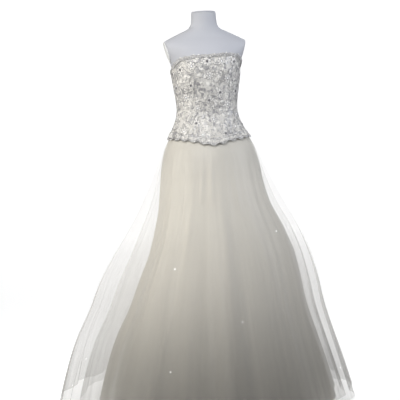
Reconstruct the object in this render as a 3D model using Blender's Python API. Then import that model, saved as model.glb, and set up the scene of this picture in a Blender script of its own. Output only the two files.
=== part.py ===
"""Strapless wedding dress with a beaded basque bodice and a full tulle skirt, worn by a limbless dress form.

Metres, +Z up. The dress faces -Y, the wearer's left is +X, and the origin is the middle of the stand's underside.
Every cloth piece is a wall between two grids of points, worked out from the section tables below.
An angle runs round the body: 0 is the centre front, 90 degrees the wearer's left side, 180 the centre back.
"""

import math

import bmesh
import bpy
import numpy as np
from mathutils import Matrix

# Cloth
SEAM_GAP = 0.0004
BODICE_WALL = 0.0024
BODICE_EASE = 0.0013
BUST_EASE = 0.0008
TRIM_WALL = 0.0014
TRIM_GAP = 0.0006
SATIN_WALL = 0.0016
TULLE_WALL = 0.0012
LAYER_GAP = 0.0006
BASQUE_GAP = 0.0011
WAIST_HEIGHT = 1.145
# How often a panel's edges and its rows are fitted to each other.
EDGE_PASSES = 3
# The outer skirt hangs on the dress's outline here and below, and draws in from here up to the basque's foot.
OVER_FREE_BELOW = 0.80
OVER_DRAWN_IN = 0.19
# Heights of the rows of points in each skirt, from the seam under the basque to the hem.
SKIRT_ROWS = (1.062, 1.040, 1.012, 0.965, 0.885, 0.765, 0.615, 0.435, 0.225, 0.003)

# Beaded edgings
NECKLINE_TRIM_WIDTH = 0.011
NECKLINE_TRIM_STAND = 0.001
NECKLINE_TRIM_COLUMNS = 65
BASQUE_TRIM_WIDTH = 0.020
BASQUE_TRIM_FOOT = 0.001
BASQUE_TRIM_BEND = 0.006
EDGE_CROWDING = 0.7
SCALLOPS = 26
SCALLOP_DROP = 0.0075
SCALLOP_ROUNDNESS = 0.7
TRIM_PARTING = 0.0055
BACK_SPAN = 0.2

# Zip at the centre back
ZIP_TAPE_HALF_WIDTH = 0.0032
ZIP_TAPE_WALL = 0.0016
ZIP_TAPE_SINK = 0.0004
SLIDER_WIDTH = 0.0056
SLIDER_LENGTH = 0.0095
SLIDER_DEPTH = 0.0022
SLIDER_BELOW_EDGE = 0.0165
LUG_WIDTH = 0.0012
LUG_DEPTH = 0.0040
LUG_SINK = 0.0005
PIN_RADIUS = 0.0006
PIN_LIFT = 0.0048
EYE_INNER_RADIUS = 0.0009
EYE_OUTER_RADIUS = 0.0019
PULL_LENGTH = 0.022
PULL_THICKNESS = 0.0011
PULL_EYE_STEPS = 14
# The pull's outline from the front: share of the way down from the eye, width.
PULL_WIDTHS = ((0.0, 0.0024), (0.25, 0.0024), (0.5, 0.0046), (0.75, 0.0056), (0.92, 0.0046), (1.0, 0.0020))

# Dress form
NECK_TOP = 1.549
NECK_CAP_INSET = 0.001
TORSO_FOOT = 0.800
ARMHOLE_HALF_WIDTH = 0.1645
ARMHOLE_TOP = 1.440
ARMHOLE_FOOT = 1.350
ARMHOLE_LEAN = 0.30
ARMHOLE_FADE = 4
ARM_CAP_HEIGHT = 0.090
ARM_CAP_DEPTH = 0.076
ARM_CAP_WALL = 0.004
ARM_CAP_CENTRE = 1.396
ARM_CAP_SET_BACK = 0.005
NECK_CAP_WALL = 0.006
BUST_HEIGHT = 1.318
BUST_HALF_SPACING = 0.078
BUST_RISE = 0.012
BUST_SPREAD = 0.060

# Stand
BASE_RADIUS = 0.180
BASE_EDGE = 0.008
HUB_RADIUS = 0.026
HUB_HEIGHT = 0.075
SOCKET_DEPTH = 0.058
POLE_RADIUS = 0.0125
SOCKET_RADIUS = 0.0130
FLANGE_RADIUS = 0.055
FLANGE_WALL = 0.006
COLLAR_RADIUS = 0.019
COLLAR_DROP = 0.028
POLE_REACH = 0.070
TOUCH_GAP = 0.0003

# Level sections of the dress form, from the foot of the torso to the neck.
# height, half width, depth before the pole, depth behind the pole
FORM_SECTIONS = (
    (0.800, 0.138, 0.104, 0.118),
    (0.870, 0.156, 0.114, 0.134),
    (0.940, 0.164, 0.116, 0.140),
    (1.000, 0.157, 0.110, 0.130),
    (1.060, 0.140, 0.101, 0.109),
    (1.112, 0.1255, 0.096, 0.095),
    (1.158, 0.1182, 0.094, 0.087),
    (1.203, 0.1205, 0.097, 0.088),
    (1.250, 0.1275, 0.103, 0.095),
    (1.300, 0.1345, 0.108, 0.102),
    (1.338, 0.1385, 0.108, 0.107),
    (1.365, 0.1500, 0.104, 0.108),
    (1.395, 0.1700, 0.096, 0.106),
    (1.418, 0.1800, 0.085, 0.101),
    (1.434, 0.1720, 0.074, 0.093),
    (1.448, 0.1480, 0.063, 0.082),
    (1.459, 0.1260, 0.057, 0.073),
    (1.473, 0.0960, 0.052, 0.065),
    (1.486, 0.0680, 0.050, 0.058),
    (1.500, 0.0560, 0.048, 0.053),
    (1.520, 0.0515, 0.047, 0.050),
    (1.549, 0.0500, 0.046, 0.049),
)

# The columns of the form's table that an oval takes: its half width serves both sides.
BOTH_SIDES = [0, 0, 1, 2]

# Rings of the torso's surface, apart from the one at the foot of the armholes.
TORSO_RINGS = (
    (0.800, 0.845, 0.900, 0.955, 1.000, 1.035, 1.070, 1.105, 1.140, 1.170, 1.200, 1.230, 1.260)
    + (1.285, 1.305, 1.328, 1.367, 1.385, 1.403, 1.420, 1.436, 1.447, 1.459, 1.473, 1.486, 1.500, 1.520)
)
TORSO_COLUMNS = 44

# A small turn in radians, to find which way a ring runs.
SMALL_TURN = 1e-4

# Level sections of the dress, to the crests of its folds, and how far inside them the two lower skirts hang.
# height, half width at the wearer's right, half width at the left, depth before the pole, depth behind the pole,
# inset of the inner tulle, inset of the satin
DRESS_SECTIONS = (
    (0.000, 0.655, 0.565, 0.600, 0.680, 0.056, 0.112),
    (0.120, 0.622, 0.530, 0.564, 0.640, 0.056, 0.112),
    (0.240, 0.580, 0.492, 0.524, 0.595, 0.056, 0.112),
    (0.360, 0.520, 0.456, 0.478, 0.545, 0.056, 0.112),
    (0.480, 0.468, 0.432, 0.428, 0.490, 0.054, 0.110),
    (0.580, 0.410, 0.403, 0.378, 0.436, 0.048, 0.100),
    (0.680, 0.346, 0.361, 0.324, 0.377, 0.038, 0.082),
    (0.780, 0.287, 0.303, 0.270, 0.318, 0.028, 0.060),
    (0.860, 0.248, 0.263, 0.230, 0.273, 0.018, 0.038),
    (0.930, 0.219, 0.230, 0.197, 0.233, 0.009, 0.018),
    (0.985, 0.196, 0.206, 0.171, 0.199, 0.003, 0.006),
    (1.017, 0.182, 0.191, 0.156, 0.178, 0.001, 0.002),
    (1.050, 0.164, 0.171, 0.138, 0.151, 0.000, 0.000),
    (1.085, 0.146, 0.148, 0.120, 0.126, 0.000, 0.000),
    (1.121, 0.1300, 0.1310, 0.105, 0.106, 0.000, 0.000),
    (1.158, 0.1222, 0.1222, 0.097, 0.090, 0.000, 0.000),
    (1.203, 0.1200, 0.1200, 0.095, 0.086, 0.000, 0.000),
    (1.400, 0.1200, 0.1200, 0.090, 0.090, 0.000, 0.000),
)

# The wearer's right of the skirt is spread wider: how much farther in the inner skirts hang on that side,
# as a share of their inset, and the heights between which the spreading sets in.
SPREAD_SHARE = 0.42
SPREAD_FROM = 0.90
SPREAD_FULL = 0.58

# The strapless top edge: angle in degrees, height.
NECKLINE = (
    (0, 1.3760),
    (25, 1.3770),
    (40, 1.3740),
    (50, 1.3680),
    (60, 1.3590),
    (72, 1.3470),
    (84, 1.3350),
    (100, 1.3270),
    (130, 1.3210),
    (180, 1.3150),
)
# The dress sits this much lower at the wearer's right side than in front, and as much higher at the left.
NECKLINE_TILT = 0.0085

# The basque's lower edge, above its scallops: angle in degrees, height.
BASQUE_EDGE = (
    (0, 1.0290),
    (8, 1.0310),
    (20, 1.0400),
    (45, 1.0500),
    (90, 1.0560),
    (135, 1.0530),
    (180, 1.0450),
)

# Where the bodice's seams run: height, princess seam, side seam and back seam in degrees from the centre front.
SEAMS = (
    (1.000, 27, 88, 146),
    (1.070, 24, 88, 148),
    (1.145, 24, 89, 150),
    (1.240, 31, 91, 148),
    (1.320, 38, 92, 144),
    (1.400, 40, 92, 142),
)

# Soft folds of each skirt: how many, their half depth at the hem, and the wander of their spacing as
# pairs of (waves round the hem, shift in radians, start in radians).
FOLDS = {
    "over": (21, 0.015, ((2, 0.55, 0.4), (5, 0.42, 1.7), (9, 0.22, 0.2))),
    "under": (16, 0.012, ((3, 0.50, 2.1), (4, 0.35, 0.8), (7, 0.25, 1.1))),
    "satin": (12, 0.010, ((2, 0.45, 3.0), (3, 0.40, 1.3), (5, 0.20, 0.5))),
}
FOLD_STEPS = 4
FOLDS_START = 0.995
FOLD_FALL = 0.85
# How unevenly deep the folds are, round the hem: waves, share of the depth.
FOLD_UNEVEN = ((3, 0.28), (7, 0.20))

# Colour in linear light, metallic, roughness
FINISHES = {
    "form_jersey": ((0.58, 0.60, 0.66), 0.0, 0.65),
    "stand_metal": ((0.55, 0.56, 0.58), 1.0, 0.35),
    "bodice_lace": ((0.66, 0.64, 0.61), 0.0, 0.45),
    "silver_beading": ((0.52, 0.52, 0.54), 0.6, 0.30),
    "ivory_satin": ((0.78, 0.74, 0.66), 0.0, 0.38),
    "ivory_tulle": ((0.86, 0.84, 0.79), 0.0, 0.60),
    "zip_metal": ((0.62, 0.62, 0.60), 1.0, 0.30),
}


def smooth(rows, at):
    """The columns of a table at the given places: a cubic through the rows, with slopes from their neighbours."""
    rows = np.array(rows, float)
    places, values = rows[:, 0], rows[:, 1:]
    slopes = np.gradient(values, places, axis=0)
    at = np.clip(at, places[0], places[-1])
    i = np.clip(np.searchsorted(places, at) - 1, 0, len(places) - 2)
    step = (places[i + 1] - places[i])[..., None]
    t = (at - places[i])[..., None] / step
    start = (1 + 2 * t) * (1 - t) ** 2 * values[i] + t * (1 - t) ** 2 * step * slopes[i]
    end = t**2 * (3 - 2 * t) * values[i + 1] + t**2 * (t - 1) * step * slopes[i + 1]
    return start + end


def from_front(angle):
    """The angle from the centre front in degrees, 0 to 180, alike on both sides."""
    turned = np.mod(np.degrees(angle), 360)
    return np.minimum(turned, 360 - turned)


def neckline(angle):
    return smooth(NECKLINE, from_front(angle))[..., 0] + NECKLINE_TILT * np.sin(angle)


def basque_edge(angle):
    return smooth(BASQUE_EDGE, from_front(angle))[..., 0]


def seam_angle(which, z):
    """Angle in radians of seam 0 (princess), 1 (side) or 2 (back) at each height."""
    return np.radians(smooth(SEAMS, z)[..., which])


def oval(angle, right, left, front, back):
    """Points of an oval section with its own reach at the wearer's right and left, in front and behind."""
    width = np.where(np.sin(angle) > 0, left, right)
    depth = np.where(np.cos(angle) > 0, front, back)
    return np.stack([width * np.sin(angle), -depth * np.cos(angle)], -1)


def bust(points, angle, z, ease=0.0):
    """Points with the soft fullness that the princess seams shape, rising towards the front."""
    side = (np.abs(points[..., 0]) - BUST_HALF_SPACING) / BUST_SPREAD
    height = (z - BUST_HEIGHT) / BUST_SPREAD
    rise = (BUST_RISE + ease) * np.exp(-(side**2) - height**2) * np.clip(np.cos(angle), 0, 1)
    return points - np.stack([np.zeros_like(rise), rise], -1)


def form_face(angle, z):
    """The dress form's outside, cut flat at the armholes by two leaning planes, which give way below the armhole."""
    section = smooth(FORM_SECTIONS, z)[..., BOTH_SIDES]
    points = bust(oval(angle, *np.moveaxis(section, -1, 0)), angle, z)
    limit = ARMHOLE_HALF_WIDTH + ARMHOLE_LEAN * (z - ARMHOLE_TOP) + np.maximum(ARMHOLE_FOOT - z, 0) * ARMHOLE_FADE
    points[..., 0] = np.clip(points[..., 0], -limit, limit)
    return points


def dress_face(angle, z):
    """The dress's outside without its folds: the form with some ease, and the flare from the waist down."""
    flare = smooth(DRESS_SECTIONS, z)[..., :4]
    worn = smooth(FORM_SECTIONS, z)[..., BOTH_SIDES] + BODICE_EASE + BODICE_WALL
    section = np.where((z > TORSO_FOOT)[..., None], np.maximum(flare, worn), flare)
    return bust(oval(angle, *np.moveaxis(section, -1, 0)), angle, z, BUST_EASE)


def fold_phase(layer, angle):
    """Runs from 0 to 2 pi for each fold of a skirt, and wanders so that no two folds are alike."""
    count, _, wander = FOLDS[layer]
    phase = count * angle
    for waves, shift, start in wander:
        phase = phase + shift * np.sin(waves * angle + start)
    return phase


def fold_depth(layer, angle, z):
    """Half the depth of a skirt's folds: nothing under the basque, full and uneven at the hem."""
    count, depth, _ = FOLDS[layer]
    fall = np.clip((FOLDS_START - z) / FOLDS_START, 0, 1) ** FOLD_FALL
    uneven = 1
    for turn, (waves, share) in enumerate(FOLD_UNEVEN, 1):
        uneven = uneven + share * np.sin(waves * angle + turn * count)
    return depth * fall * uneven / (1 + sum(share for _, share in FOLD_UNEVEN))


def skirt_inset(layer, angle, z):
    """How far a skirt hangs inside the dress's outline, with the stack of walls under the basque."""
    spread = SPREAD_SHARE * np.clip((SPREAD_FROM - z) / (SPREAD_FROM - SPREAD_FULL), 0, 1)
    inner = smooth(DRESS_SECTIONS, z)[..., 4:] * (1 - spread * np.sin(angle))[..., None]
    over = BODICE_WALL + BASQUE_GAP
    under = over + TULLE_WALL + LAYER_GAP
    satin = under + TULLE_WALL + LAYER_GAP
    if layer == "over":
        return over * np.clip((z - OVER_FREE_BELOW) / OVER_DRAWN_IN, 0, 1)
    if layer == "under":
        return under + inner[..., 0]
    return satin + inner[..., 1]


def skirt_face(layer):
    """The outside of one skirt: its section drawn in by the inset, with folds that reach inwards."""

    def face(angle, z):
        points = moved_out(dress_face, angle, z, -skirt_inset(layer, angle, z))
        direction = points / np.linalg.norm(points, axis=-1, keepdims=True)
        wave = fold_depth(layer, angle, z) * (np.cos(fold_phase(layer, angle)) - 1)
        return points + direction * wave[..., None]

    return face


def moved_out(face, angle, z, distance):
    """Points of a face moved out level, square to its ring, by the distance."""
    along = face(angle + SMALL_TURN, z) - face(angle - SMALL_TURN, z)
    out = np.stack([along[..., 1], -along[..., 0]], -1)
    out = out / np.linalg.norm(out, axis=-1, keepdims=True)
    return face(angle, z) + out * np.asarray(distance)[..., None]


def angle_of_width(face, angle, z, width):
    """The angle that spans a width along the ring of a face."""
    along = face(angle + SMALL_TURN, z) - face(angle - SMALL_TURN, z)
    return width * 2 * SMALL_TURN / np.linalg.norm(along, axis=-1)


def material(name):
    """A plain surface with the finish's colour, metallic value and roughness."""
    colour, metallic, roughness = FINISHES[name]
    made = bpy.data.materials.get(name) or bpy.data.materials.new(name)
    made.use_nodes = True
    surface = made.node_tree.nodes["Principled BSDF"]
    surface.inputs["Base Color"].default_value = (*colour, 1)
    surface.inputs["Metallic"].default_value = metallic
    surface.inputs["Roughness"].default_value = roughness
    return made


def add_object(name, mesh, finish):
    """A named object with its finish, shaded smooth but for its sharp edges."""
    mesh.materials.append(material(finish))
    mesh.shade_smooth()
    mesh.set_sharp_from_angle(angle=math.radians(40))
    made = bpy.data.objects.new(name, mesh)
    bpy.context.scene.collection.objects.link(made)
    return made


def add_wall(name, face, angle, z, lift, wall, finish):
    """A cloth wall over a grid of angles and heights, whose outside is lift above the face.

    Each cell is split along its shorter diagonal, on the outside and the inside alike, so the wall never thins.
    """
    rows, columns = z.shape
    layers = []
    for distance in (lift, lift - wall):
        points = moved_out(face, angle, z, np.full(z.shape, distance))
        layers.append(np.concatenate([points, z[..., None]], -1).reshape(-1, 3))
    inside = rows * columns
    outer = layers[0]

    def at(row, column):
        return row * columns + column

    faces = []
    for row in range(rows - 1):
        for column in range(columns - 1):
            a, b, c, d = at(row, column), at(row, column + 1), at(row + 1, column + 1), at(row + 1, column)
            ascending = np.linalg.norm(outer[a] - outer[c]) < np.linalg.norm(outer[b] - outer[d])
            for corners in ((a, b, c), (a, c, d)) if ascending else ((a, b, d), (b, c, d)):
                faces.append(corners)
                faces.append(tuple(corner + inside for corner in reversed(corners)))
    edge = [at(0, c) for c in range(columns)]
    edge += [at(r, columns - 1) for r in range(1, rows)]
    edge += [at(rows - 1, c) for c in range(columns - 2, -1, -1)]
    edge += [at(r, 0) for r in range(rows - 2, 0, -1)]
    for here, after in zip(edge, edge[1:] + edge[:1]):
        faces.append((after, here, here + inside, after + inside))
    mesh = bpy.data.meshes.new(name)
    mesh.from_pydata(np.concatenate(layers).tolist(), [], faces)
    return add_object(name, mesh, finish)


def heights_between(low, high, rows, crowding=0.0):
    """Rows of heights from a lower to an upper edge, which may crowd towards both edges."""
    even = np.linspace(0, 1, rows)[:, None]
    share = even - crowding * np.sin(2 * math.pi * even) / (2 * math.pi)
    return low + (high - low) * share


def add_bodice_panel(name, left_edge, right_edge, columns, rows=15):
    """A shaped panel between two seams. Each edge is a function of height that gives an angle."""
    share = np.linspace(0, 1, columns)
    waist = np.array(WAIST_HEIGHT)
    middle = left_edge(waist) * (1 - share) + right_edge(waist) * share
    z = heights_between(basque_edge(middle), neckline(middle), rows, EDGE_CROWDING)
    for _ in range(EDGE_PASSES):
        angle = left_edge(z) * (1 - share) + right_edge(z) * share
        z = heights_between(basque_edge(angle[0]), neckline(angle[-1]), rows, EDGE_CROWDING)
    start, end = left_edge(z), right_edge(z)
    gap_start = angle_of_width(dress_face, start, z, SEAM_GAP / 2)
    gap_end = angle_of_width(dress_face, end, z, SEAM_GAP / 2)
    angle = (start + gap_start) * (1 - share) + (end - gap_end) * share
    return add_wall(name, dress_face, angle, z, 0.0, BODICE_WALL, "bodice_lace")


def add_bodice():
    """Seven panels cut on princess lines, closed by the zip at the centre back."""

    def seam(which, sign):
        return lambda z: sign * seam_angle(which, z)

    def zip_edge(sign):
        def edge(z):
            centre = np.full(z.shape, math.pi)
            return sign * (centre - angle_of_width(dress_face, centre, z, ZIP_TAPE_HALF_WIDTH + SEAM_GAP / 2))

        return edge

    add_bodice_panel("bodice_front", seam(0, -1), seam(0, 1), 9)
    add_bodice_panel("bodice_side_front_left", seam(0, 1), seam(1, 1), 8)
    add_bodice_panel("bodice_side_front_right", seam(1, -1), seam(0, -1), 8)
    add_bodice_panel("bodice_side_back_left", seam(1, 1), seam(2, 1), 7)
    add_bodice_panel("bodice_side_back_right", seam(2, -1), seam(1, -1), 7)
    add_bodice_panel("bodice_back_left", seam(2, 1), zip_edge(1), 5)
    add_bodice_panel("bodice_back_right", zip_edge(-1), seam(2, -1), 5)


def add_trims():
    """The beaded edgings, which lie on the panels and part at the zip."""
    reach = math.pi - 2 * math.asin(TRIM_PARTING / BACK_SPAN)
    angle = np.linspace(-reach, reach, NECKLINE_TRIM_COLUMNS)
    z = heights_between(neckline(angle) - NECKLINE_TRIM_WIDTH, neckline(angle) + NECKLINE_TRIM_STAND, 2)
    lift = TRIM_GAP + TRIM_WALL
    grid = np.broadcast_to(angle, z.shape)
    add_wall("neckline_trim", dress_face, grid, z, lift, TRIM_WALL, "silver_beading")

    angle = np.linspace(-reach, reach, 4 * SCALLOPS + 1)
    drop = SCALLOP_DROP * np.abs(np.cos(SCALLOPS * angle / 2)) ** SCALLOP_ROUNDNESS
    edge = basque_edge(angle)
    z = np.stack([edge - BASQUE_TRIM_FOOT - drop, edge + BASQUE_TRIM_BEND, edge + BASQUE_TRIM_WIDTH])
    grid = np.broadcast_to(angle, z.shape)
    add_wall("basque_trim", dress_face, grid, z, lift, TRIM_WALL, "silver_beading")


def add_skirt(layer, wall, finish, name):
    """One skirt, cut as a front and a back that meet at the side seams. Its columns follow its folds."""
    face = skirt_face(layer)
    fine = np.linspace(-1.5 * math.pi, 1.5 * math.pi, 6001)
    phase = fold_phase(layer, fine)
    step = 2 * math.pi / FOLD_STEPS
    heights = np.array(SKIRT_ROWS[::-1])
    for side, centre in (("front", 0.0), ("back", math.pi)):
        low = np.interp(centre - math.pi / 2, fine, phase)
        high = np.interp(centre + math.pi / 2, fine, phase)
        inner = np.arange(math.ceil(low / step + 0.3), math.floor(high / step - 0.3) + 1) * step
        columns = np.interp(np.concatenate([[low], inner, [high]]), phase, fine)
        z = heights[:, None] + np.zeros(len(columns))
        angle = np.broadcast_to(columns, z.shape).copy()
        angle[:, 0] += angle_of_width(face, angle[:, 0], z[:, 0], SEAM_GAP / 2)
        angle[:, -1] -= angle_of_width(face, angle[:, -1], z[:, -1], SEAM_GAP / 2)
        add_wall(f"{name}_{side}", face, angle, z, 0.0, wall, finish)


def add_zip():
    """The tape between the back panels, its slider with a pinned bail, and the pull that hangs from the pin."""
    centre = np.array(math.pi)
    top = neckline(centre)
    bottom = basque_edge(centre)
    z = np.broadcast_to(np.linspace(bottom, top, 13)[:, None], (13, 3))
    span = angle_of_width(dress_face, np.full(z.shape, math.pi), z, ZIP_TAPE_HALF_WIDTH - SEAM_GAP / 2)
    angle = math.pi + span * np.array([-1, 0, 1])
    add_wall("zip_tape", dress_face, angle, z, -ZIP_TAPE_SINK, ZIP_TAPE_WALL, "ivory_satin")

    slider_z = float(top) - SLIDER_BELOW_EDGE
    back = float(dress_face(centre, np.array(slider_z + SLIDER_LENGTH / 2))[1])
    foot = back - ZIP_TAPE_SINK + TOUCH_GAP
    pin_y = foot + PIN_LIFT
    slider = add_block("zip_slider", (SLIDER_WIDTH, SLIDER_DEPTH, SLIDER_LENGTH), (0, foot + SLIDER_DEPTH / 2, slider_z))
    for side in (-1, 1):
        lug_x = side * (SLIDER_WIDTH - LUG_WIDTH) / 2
        lug_y = foot + SLIDER_DEPTH - LUG_SINK
        lug_depth = PIN_LIFT + 2 * PIN_RADIUS - SLIDER_DEPTH + LUG_SINK
        lug = add_block(f"lug_{side}", (LUG_WIDTH, lug_depth, LUG_DEPTH), (lug_x, lug_y + lug_depth / 2, slider_z))
        join(slider, lug)
    pin = add_rod("pin", PIN_RADIUS, SLIDER_WIDTH - LUG_WIDTH, (0, pin_y, slider_z))
    join(slider, pin)
    add_pull(pin_y, slider_z)


def add_pull(pin_y, pin_z):
    """The pull: a side profile of an eye and a flat tongue, as wide as a slim teardrop."""
    tongue = PULL_LENGTH - EYE_OUTER_RADIUS
    tail = math.asin(PULL_THICKNESS / 2 / EYE_OUTER_RADIUS)
    turns = np.linspace(-math.pi / 2 + tail, 3 * math.pi / 2 - tail, PULL_EYE_STEPS)
    outline = [(EYE_OUTER_RADIUS * math.cos(a), EYE_OUTER_RADIUS * math.sin(a)) for a in turns]
    left = [(-PULL_THICKNESS / 2, -EYE_OUTER_RADIUS - share * tongue) for share, _ in PULL_WIDTHS[1:]]
    outline += left + [(-y, z) for y, z in reversed(left)]
    hole = [(EYE_INNER_RADIUS * math.cos(a), EYE_INNER_RADIUS * math.sin(a)) for a in turns[::-1]]

    def width_at(z):
        share = max(0.0, (-z - EYE_OUTER_RADIUS) / tongue)
        return float(np.interp(share, *zip(*PULL_WIDTHS)))

    bm = bmesh.new()
    rings = {}
    for key, ring in (("out", outline), ("in", hole)):
        for side in (-1, 1):
            rings[key, side] = [bm.verts.new((side * width_at(z) / 2, y, z)) for y, z in ring]
    for key in ("out", "in"):
        left_ring, right_ring = rings[key, -1], rings[key, 1]
        for i in range(len(left_ring)):
            j = (i + 1) % len(left_ring)
            bm.faces.new((left_ring[i], left_ring[j], right_ring[j], right_ring[i]))
    for side in (-1, 1):
        loops = []
        for key in ("out", "in"):
            ring = rings[key, side]
            loops += [bm.edges.get((ring[i], ring[(i + 1) % len(ring)])) for i in range(len(ring))]
        bmesh.ops.triangle_fill(bm, edges=loops, use_beauty=True)
    bmesh.ops.recalc_face_normals(bm, faces=bm.faces)
    mesh = bpy.data.meshes.new("zip_pull")
    bm.to_mesh(mesh)
    bm.free()
    pull = add_object("zip_pull", mesh, "zip_metal")
    pull.location = (0, pin_y, pin_z)


def add_block(name, size, centre):
    """A rectangular block."""
    bm = bmesh.new()
    bmesh.ops.create_cube(bm, size=1, matrix=Matrix.Diagonal((*size, 1)))
    mesh = bpy.data.meshes.new(name)
    bm.to_mesh(mesh)
    bm.free()
    made = add_object(name, mesh, "zip_metal")
    made.location = centre
    return made


def add_rod(name, radius, length, centre):
    """A short round rod along X."""
    bm = bmesh.new()
    lie_down = Matrix.Rotation(math.pi / 2, 4, "Y")
    bmesh.ops.create_cone(
        bm, cap_ends=True, segments=12, radius1=radius, radius2=radius, depth=length, matrix=lie_down
    )
    mesh = bpy.data.meshes.new(name)
    bm.to_mesh(mesh)
    bm.free()
    made = add_object(name, mesh, "zip_metal")
    made.location = centre
    return made


def join(body, tool):
    """Unites a tool with the body and keeps the tool as a hidden guide."""
    tool.hide_render = True
    tool.display_type = "WIRE"
    union = body.modifiers.new(tool.name, "BOOLEAN")
    union.operation = "UNION"
    union.object = tool


def add_turned(name, profile, finish, segments=32):
    """A round piece: the profile (radius, height) runs from the axis at the foot, outwards and up, to the axis."""
    bm = bmesh.new()
    points = [bm.verts.new((radius, 0, height)) for radius, height in profile]
    edges = [bm.edges.new(pair) for pair in zip(points, points[1:])]
    bmesh.ops.spin(
        bm, geom=points + edges, axis=(0, 0, 1), cent=(0, 0, 0), angle=2 * math.pi, steps=segments, use_merge=True
    )
    bmesh.ops.remove_doubles(bm, verts=bm.verts, dist=1e-6)
    bmesh.ops.recalc_face_normals(bm, faces=bm.faces)
    mesh = bpy.data.meshes.new(name)
    bm.to_mesh(mesh)
    bm.free()
    return add_object(name, mesh, finish)


def add_torso():
    """The form's body: rings of the form's face, flat at the neck and at the foot, where a socket takes the pole."""
    columns = TORSO_COLUMNS
    angle = np.arange(columns) * 2 * math.pi / columns
    bm = bmesh.new()
    rings = []
    for z in sorted((*TORSO_RINGS, ARMHOLE_FOOT, NECK_TOP)):
        points = form_face(angle, np.full(columns, z))
        rings.append([bm.verts.new((x, y, z)) for x, y in points])
    socket = []
    for z in (TORSO_FOOT, TORSO_FOOT + POLE_REACH):
        points = oval(angle, SOCKET_RADIUS, SOCKET_RADIUS, SOCKET_RADIUS, SOCKET_RADIUS)
        socket.append([bm.verts.new((x, y, z)) for x, y in points])
    for lower, upper in zip(rings, rings[1:]):
        for i in range(columns):
            j = (i + 1) % columns
            bm.faces.new((lower[i], lower[j], upper[j], upper[i]))
    for i in range(columns):
        j = (i + 1) % columns
        bm.faces.new((rings[0][j], rings[0][i], socket[0][i], socket[0][j]))
        bm.faces.new((socket[0][j], socket[0][i], socket[1][i], socket[1][j]))
    bm.faces.new(socket[1][::-1])
    bm.faces.new(rings[-1])
    mesh = bpy.data.meshes.new("form_torso")
    bm.to_mesh(mesh)
    bm.free()
    return add_object("form_torso", mesh, "form_jersey")


def add_caps():
    """The neck's cap and the oval plates that close the armholes."""
    section = smooth(FORM_SECTIONS, np.array(NECK_TOP))
    neck = add_turned("form_neck_cap", plate_profile(1.0, NECK_CAP_WALL, 0.06), "form_jersey", 24)
    foot = NECK_TOP + TOUCH_GAP
    depth = (section[1] + section[2]) / 2
    shape = Matrix.Translation((0, (section[2] - section[1]) / 2, foot)) @ Matrix.Diagonal(
        (section[0] - NECK_CAP_INSET, depth - NECK_CAP_INSET, 1, 1)
    )
    neck.data.transform(shape)
    lean = math.atan(ARMHOLE_LEAN)
    centre_x = ARMHOLE_HALF_WIDTH + ARMHOLE_LEAN * (ARM_CAP_CENTRE - ARMHOLE_TOP)
    for side, sign in (("left", 1), ("right", -1)):
        cap = add_turned(f"form_arm_cap_{side}", plate_profile(1.0, ARM_CAP_WALL, 0.05), "form_jersey", 24)
        cap.data.transform(Matrix.Diagonal((ARM_CAP_HEIGHT / 2, ARM_CAP_DEPTH / 2, 1, 1)))
        cap.data.transform(Matrix.Translation((0, ARM_CAP_SET_BACK, TOUCH_GAP)))
        turn = Matrix.Rotation(sign * (math.pi / 2 + lean), 4, "Y")
        place = Matrix.Translation((sign * centre_x, 0, ARM_CAP_CENTRE))
        cap.data.transform(place @ turn)


def plate_profile(radius, wall, ease):
    """A flat plate with an eased upper edge, as shares of the radius."""
    return ((0, 0), (radius, 0), (radius, wall * 0.55), (radius * (1 - ease), wall), (0, wall))


def add_stand():
    """A weighted round base with a socket, the pole in it, and the collared flange that the torso sits on."""
    base = (
        (0, 0),
        (BASE_RADIUS, 0),
        (BASE_RADIUS, BASE_EDGE),
        (BASE_RADIUS * 0.96, BASE_EDGE + 0.004),
        (BASE_RADIUS * 0.35, BASE_EDGE + 0.008),
        (HUB_RADIUS, BASE_EDGE + 0.016),
        (HUB_RADIUS * 0.85, HUB_HEIGHT),
        (SOCKET_RADIUS, HUB_HEIGHT),
        (SOCKET_RADIUS, HUB_HEIGHT - SOCKET_DEPTH),
        (0, HUB_HEIGHT - SOCKET_DEPTH),
    )
    add_turned("stand_base", base, "stand_metal", 36)
    pole_foot = HUB_HEIGHT - SOCKET_DEPTH + TOUCH_GAP
    pole_top = TORSO_FOOT + POLE_REACH - TOUCH_GAP
    pole = ((0, pole_foot), (POLE_RADIUS, pole_foot), (POLE_RADIUS, pole_top), (0, pole_top))
    add_turned("stand_pole", pole, "stand_metal", 20)
    flange_top = TORSO_FOOT - TOUCH_GAP
    flange_foot = flange_top - FLANGE_WALL
    collar = flange_foot - COLLAR_DROP
    flange = (
        (SOCKET_RADIUS, collar),
        (COLLAR_RADIUS, collar),
        (COLLAR_RADIUS, flange_foot),
        (FLANGE_RADIUS, flange_foot),
        (FLANGE_RADIUS, flange_top),
        (SOCKET_RADIUS, flange_top),
        (SOCKET_RADIUS, collar),
    )
    add_turned("stand_flange", flange, "stand_metal", 24)


def main():
    for old in list(bpy.data.objects):
        bpy.data.objects.remove(old)
    add_stand()
    add_torso()
    add_caps()
    add_skirt("satin", SATIN_WALL, "ivory_satin", "skirt_satin")
    add_skirt("under", TULLE_WALL, "ivory_tulle", "tulle_under")
    add_skirt("over", TULLE_WALL, "ivory_tulle", "tulle_over")
    add_bodice()
    add_trims()
    add_zip()


main()
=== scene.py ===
"""Looks of a strapless wedding dress on a limbless dress form, and the studio round it.

Metres, +Z up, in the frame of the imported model. The dress faces -Y and the wearer's left is +X.
An angle runs round the body: 0 is the centre front, 90 degrees the wearer's left side, 180 the centre back.
Every cloth is a function of angle and height, worked out on a grid as whole arrays.
"""

import math

import bpy
import numpy as np
from mathutils import Matrix, Vector


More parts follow.
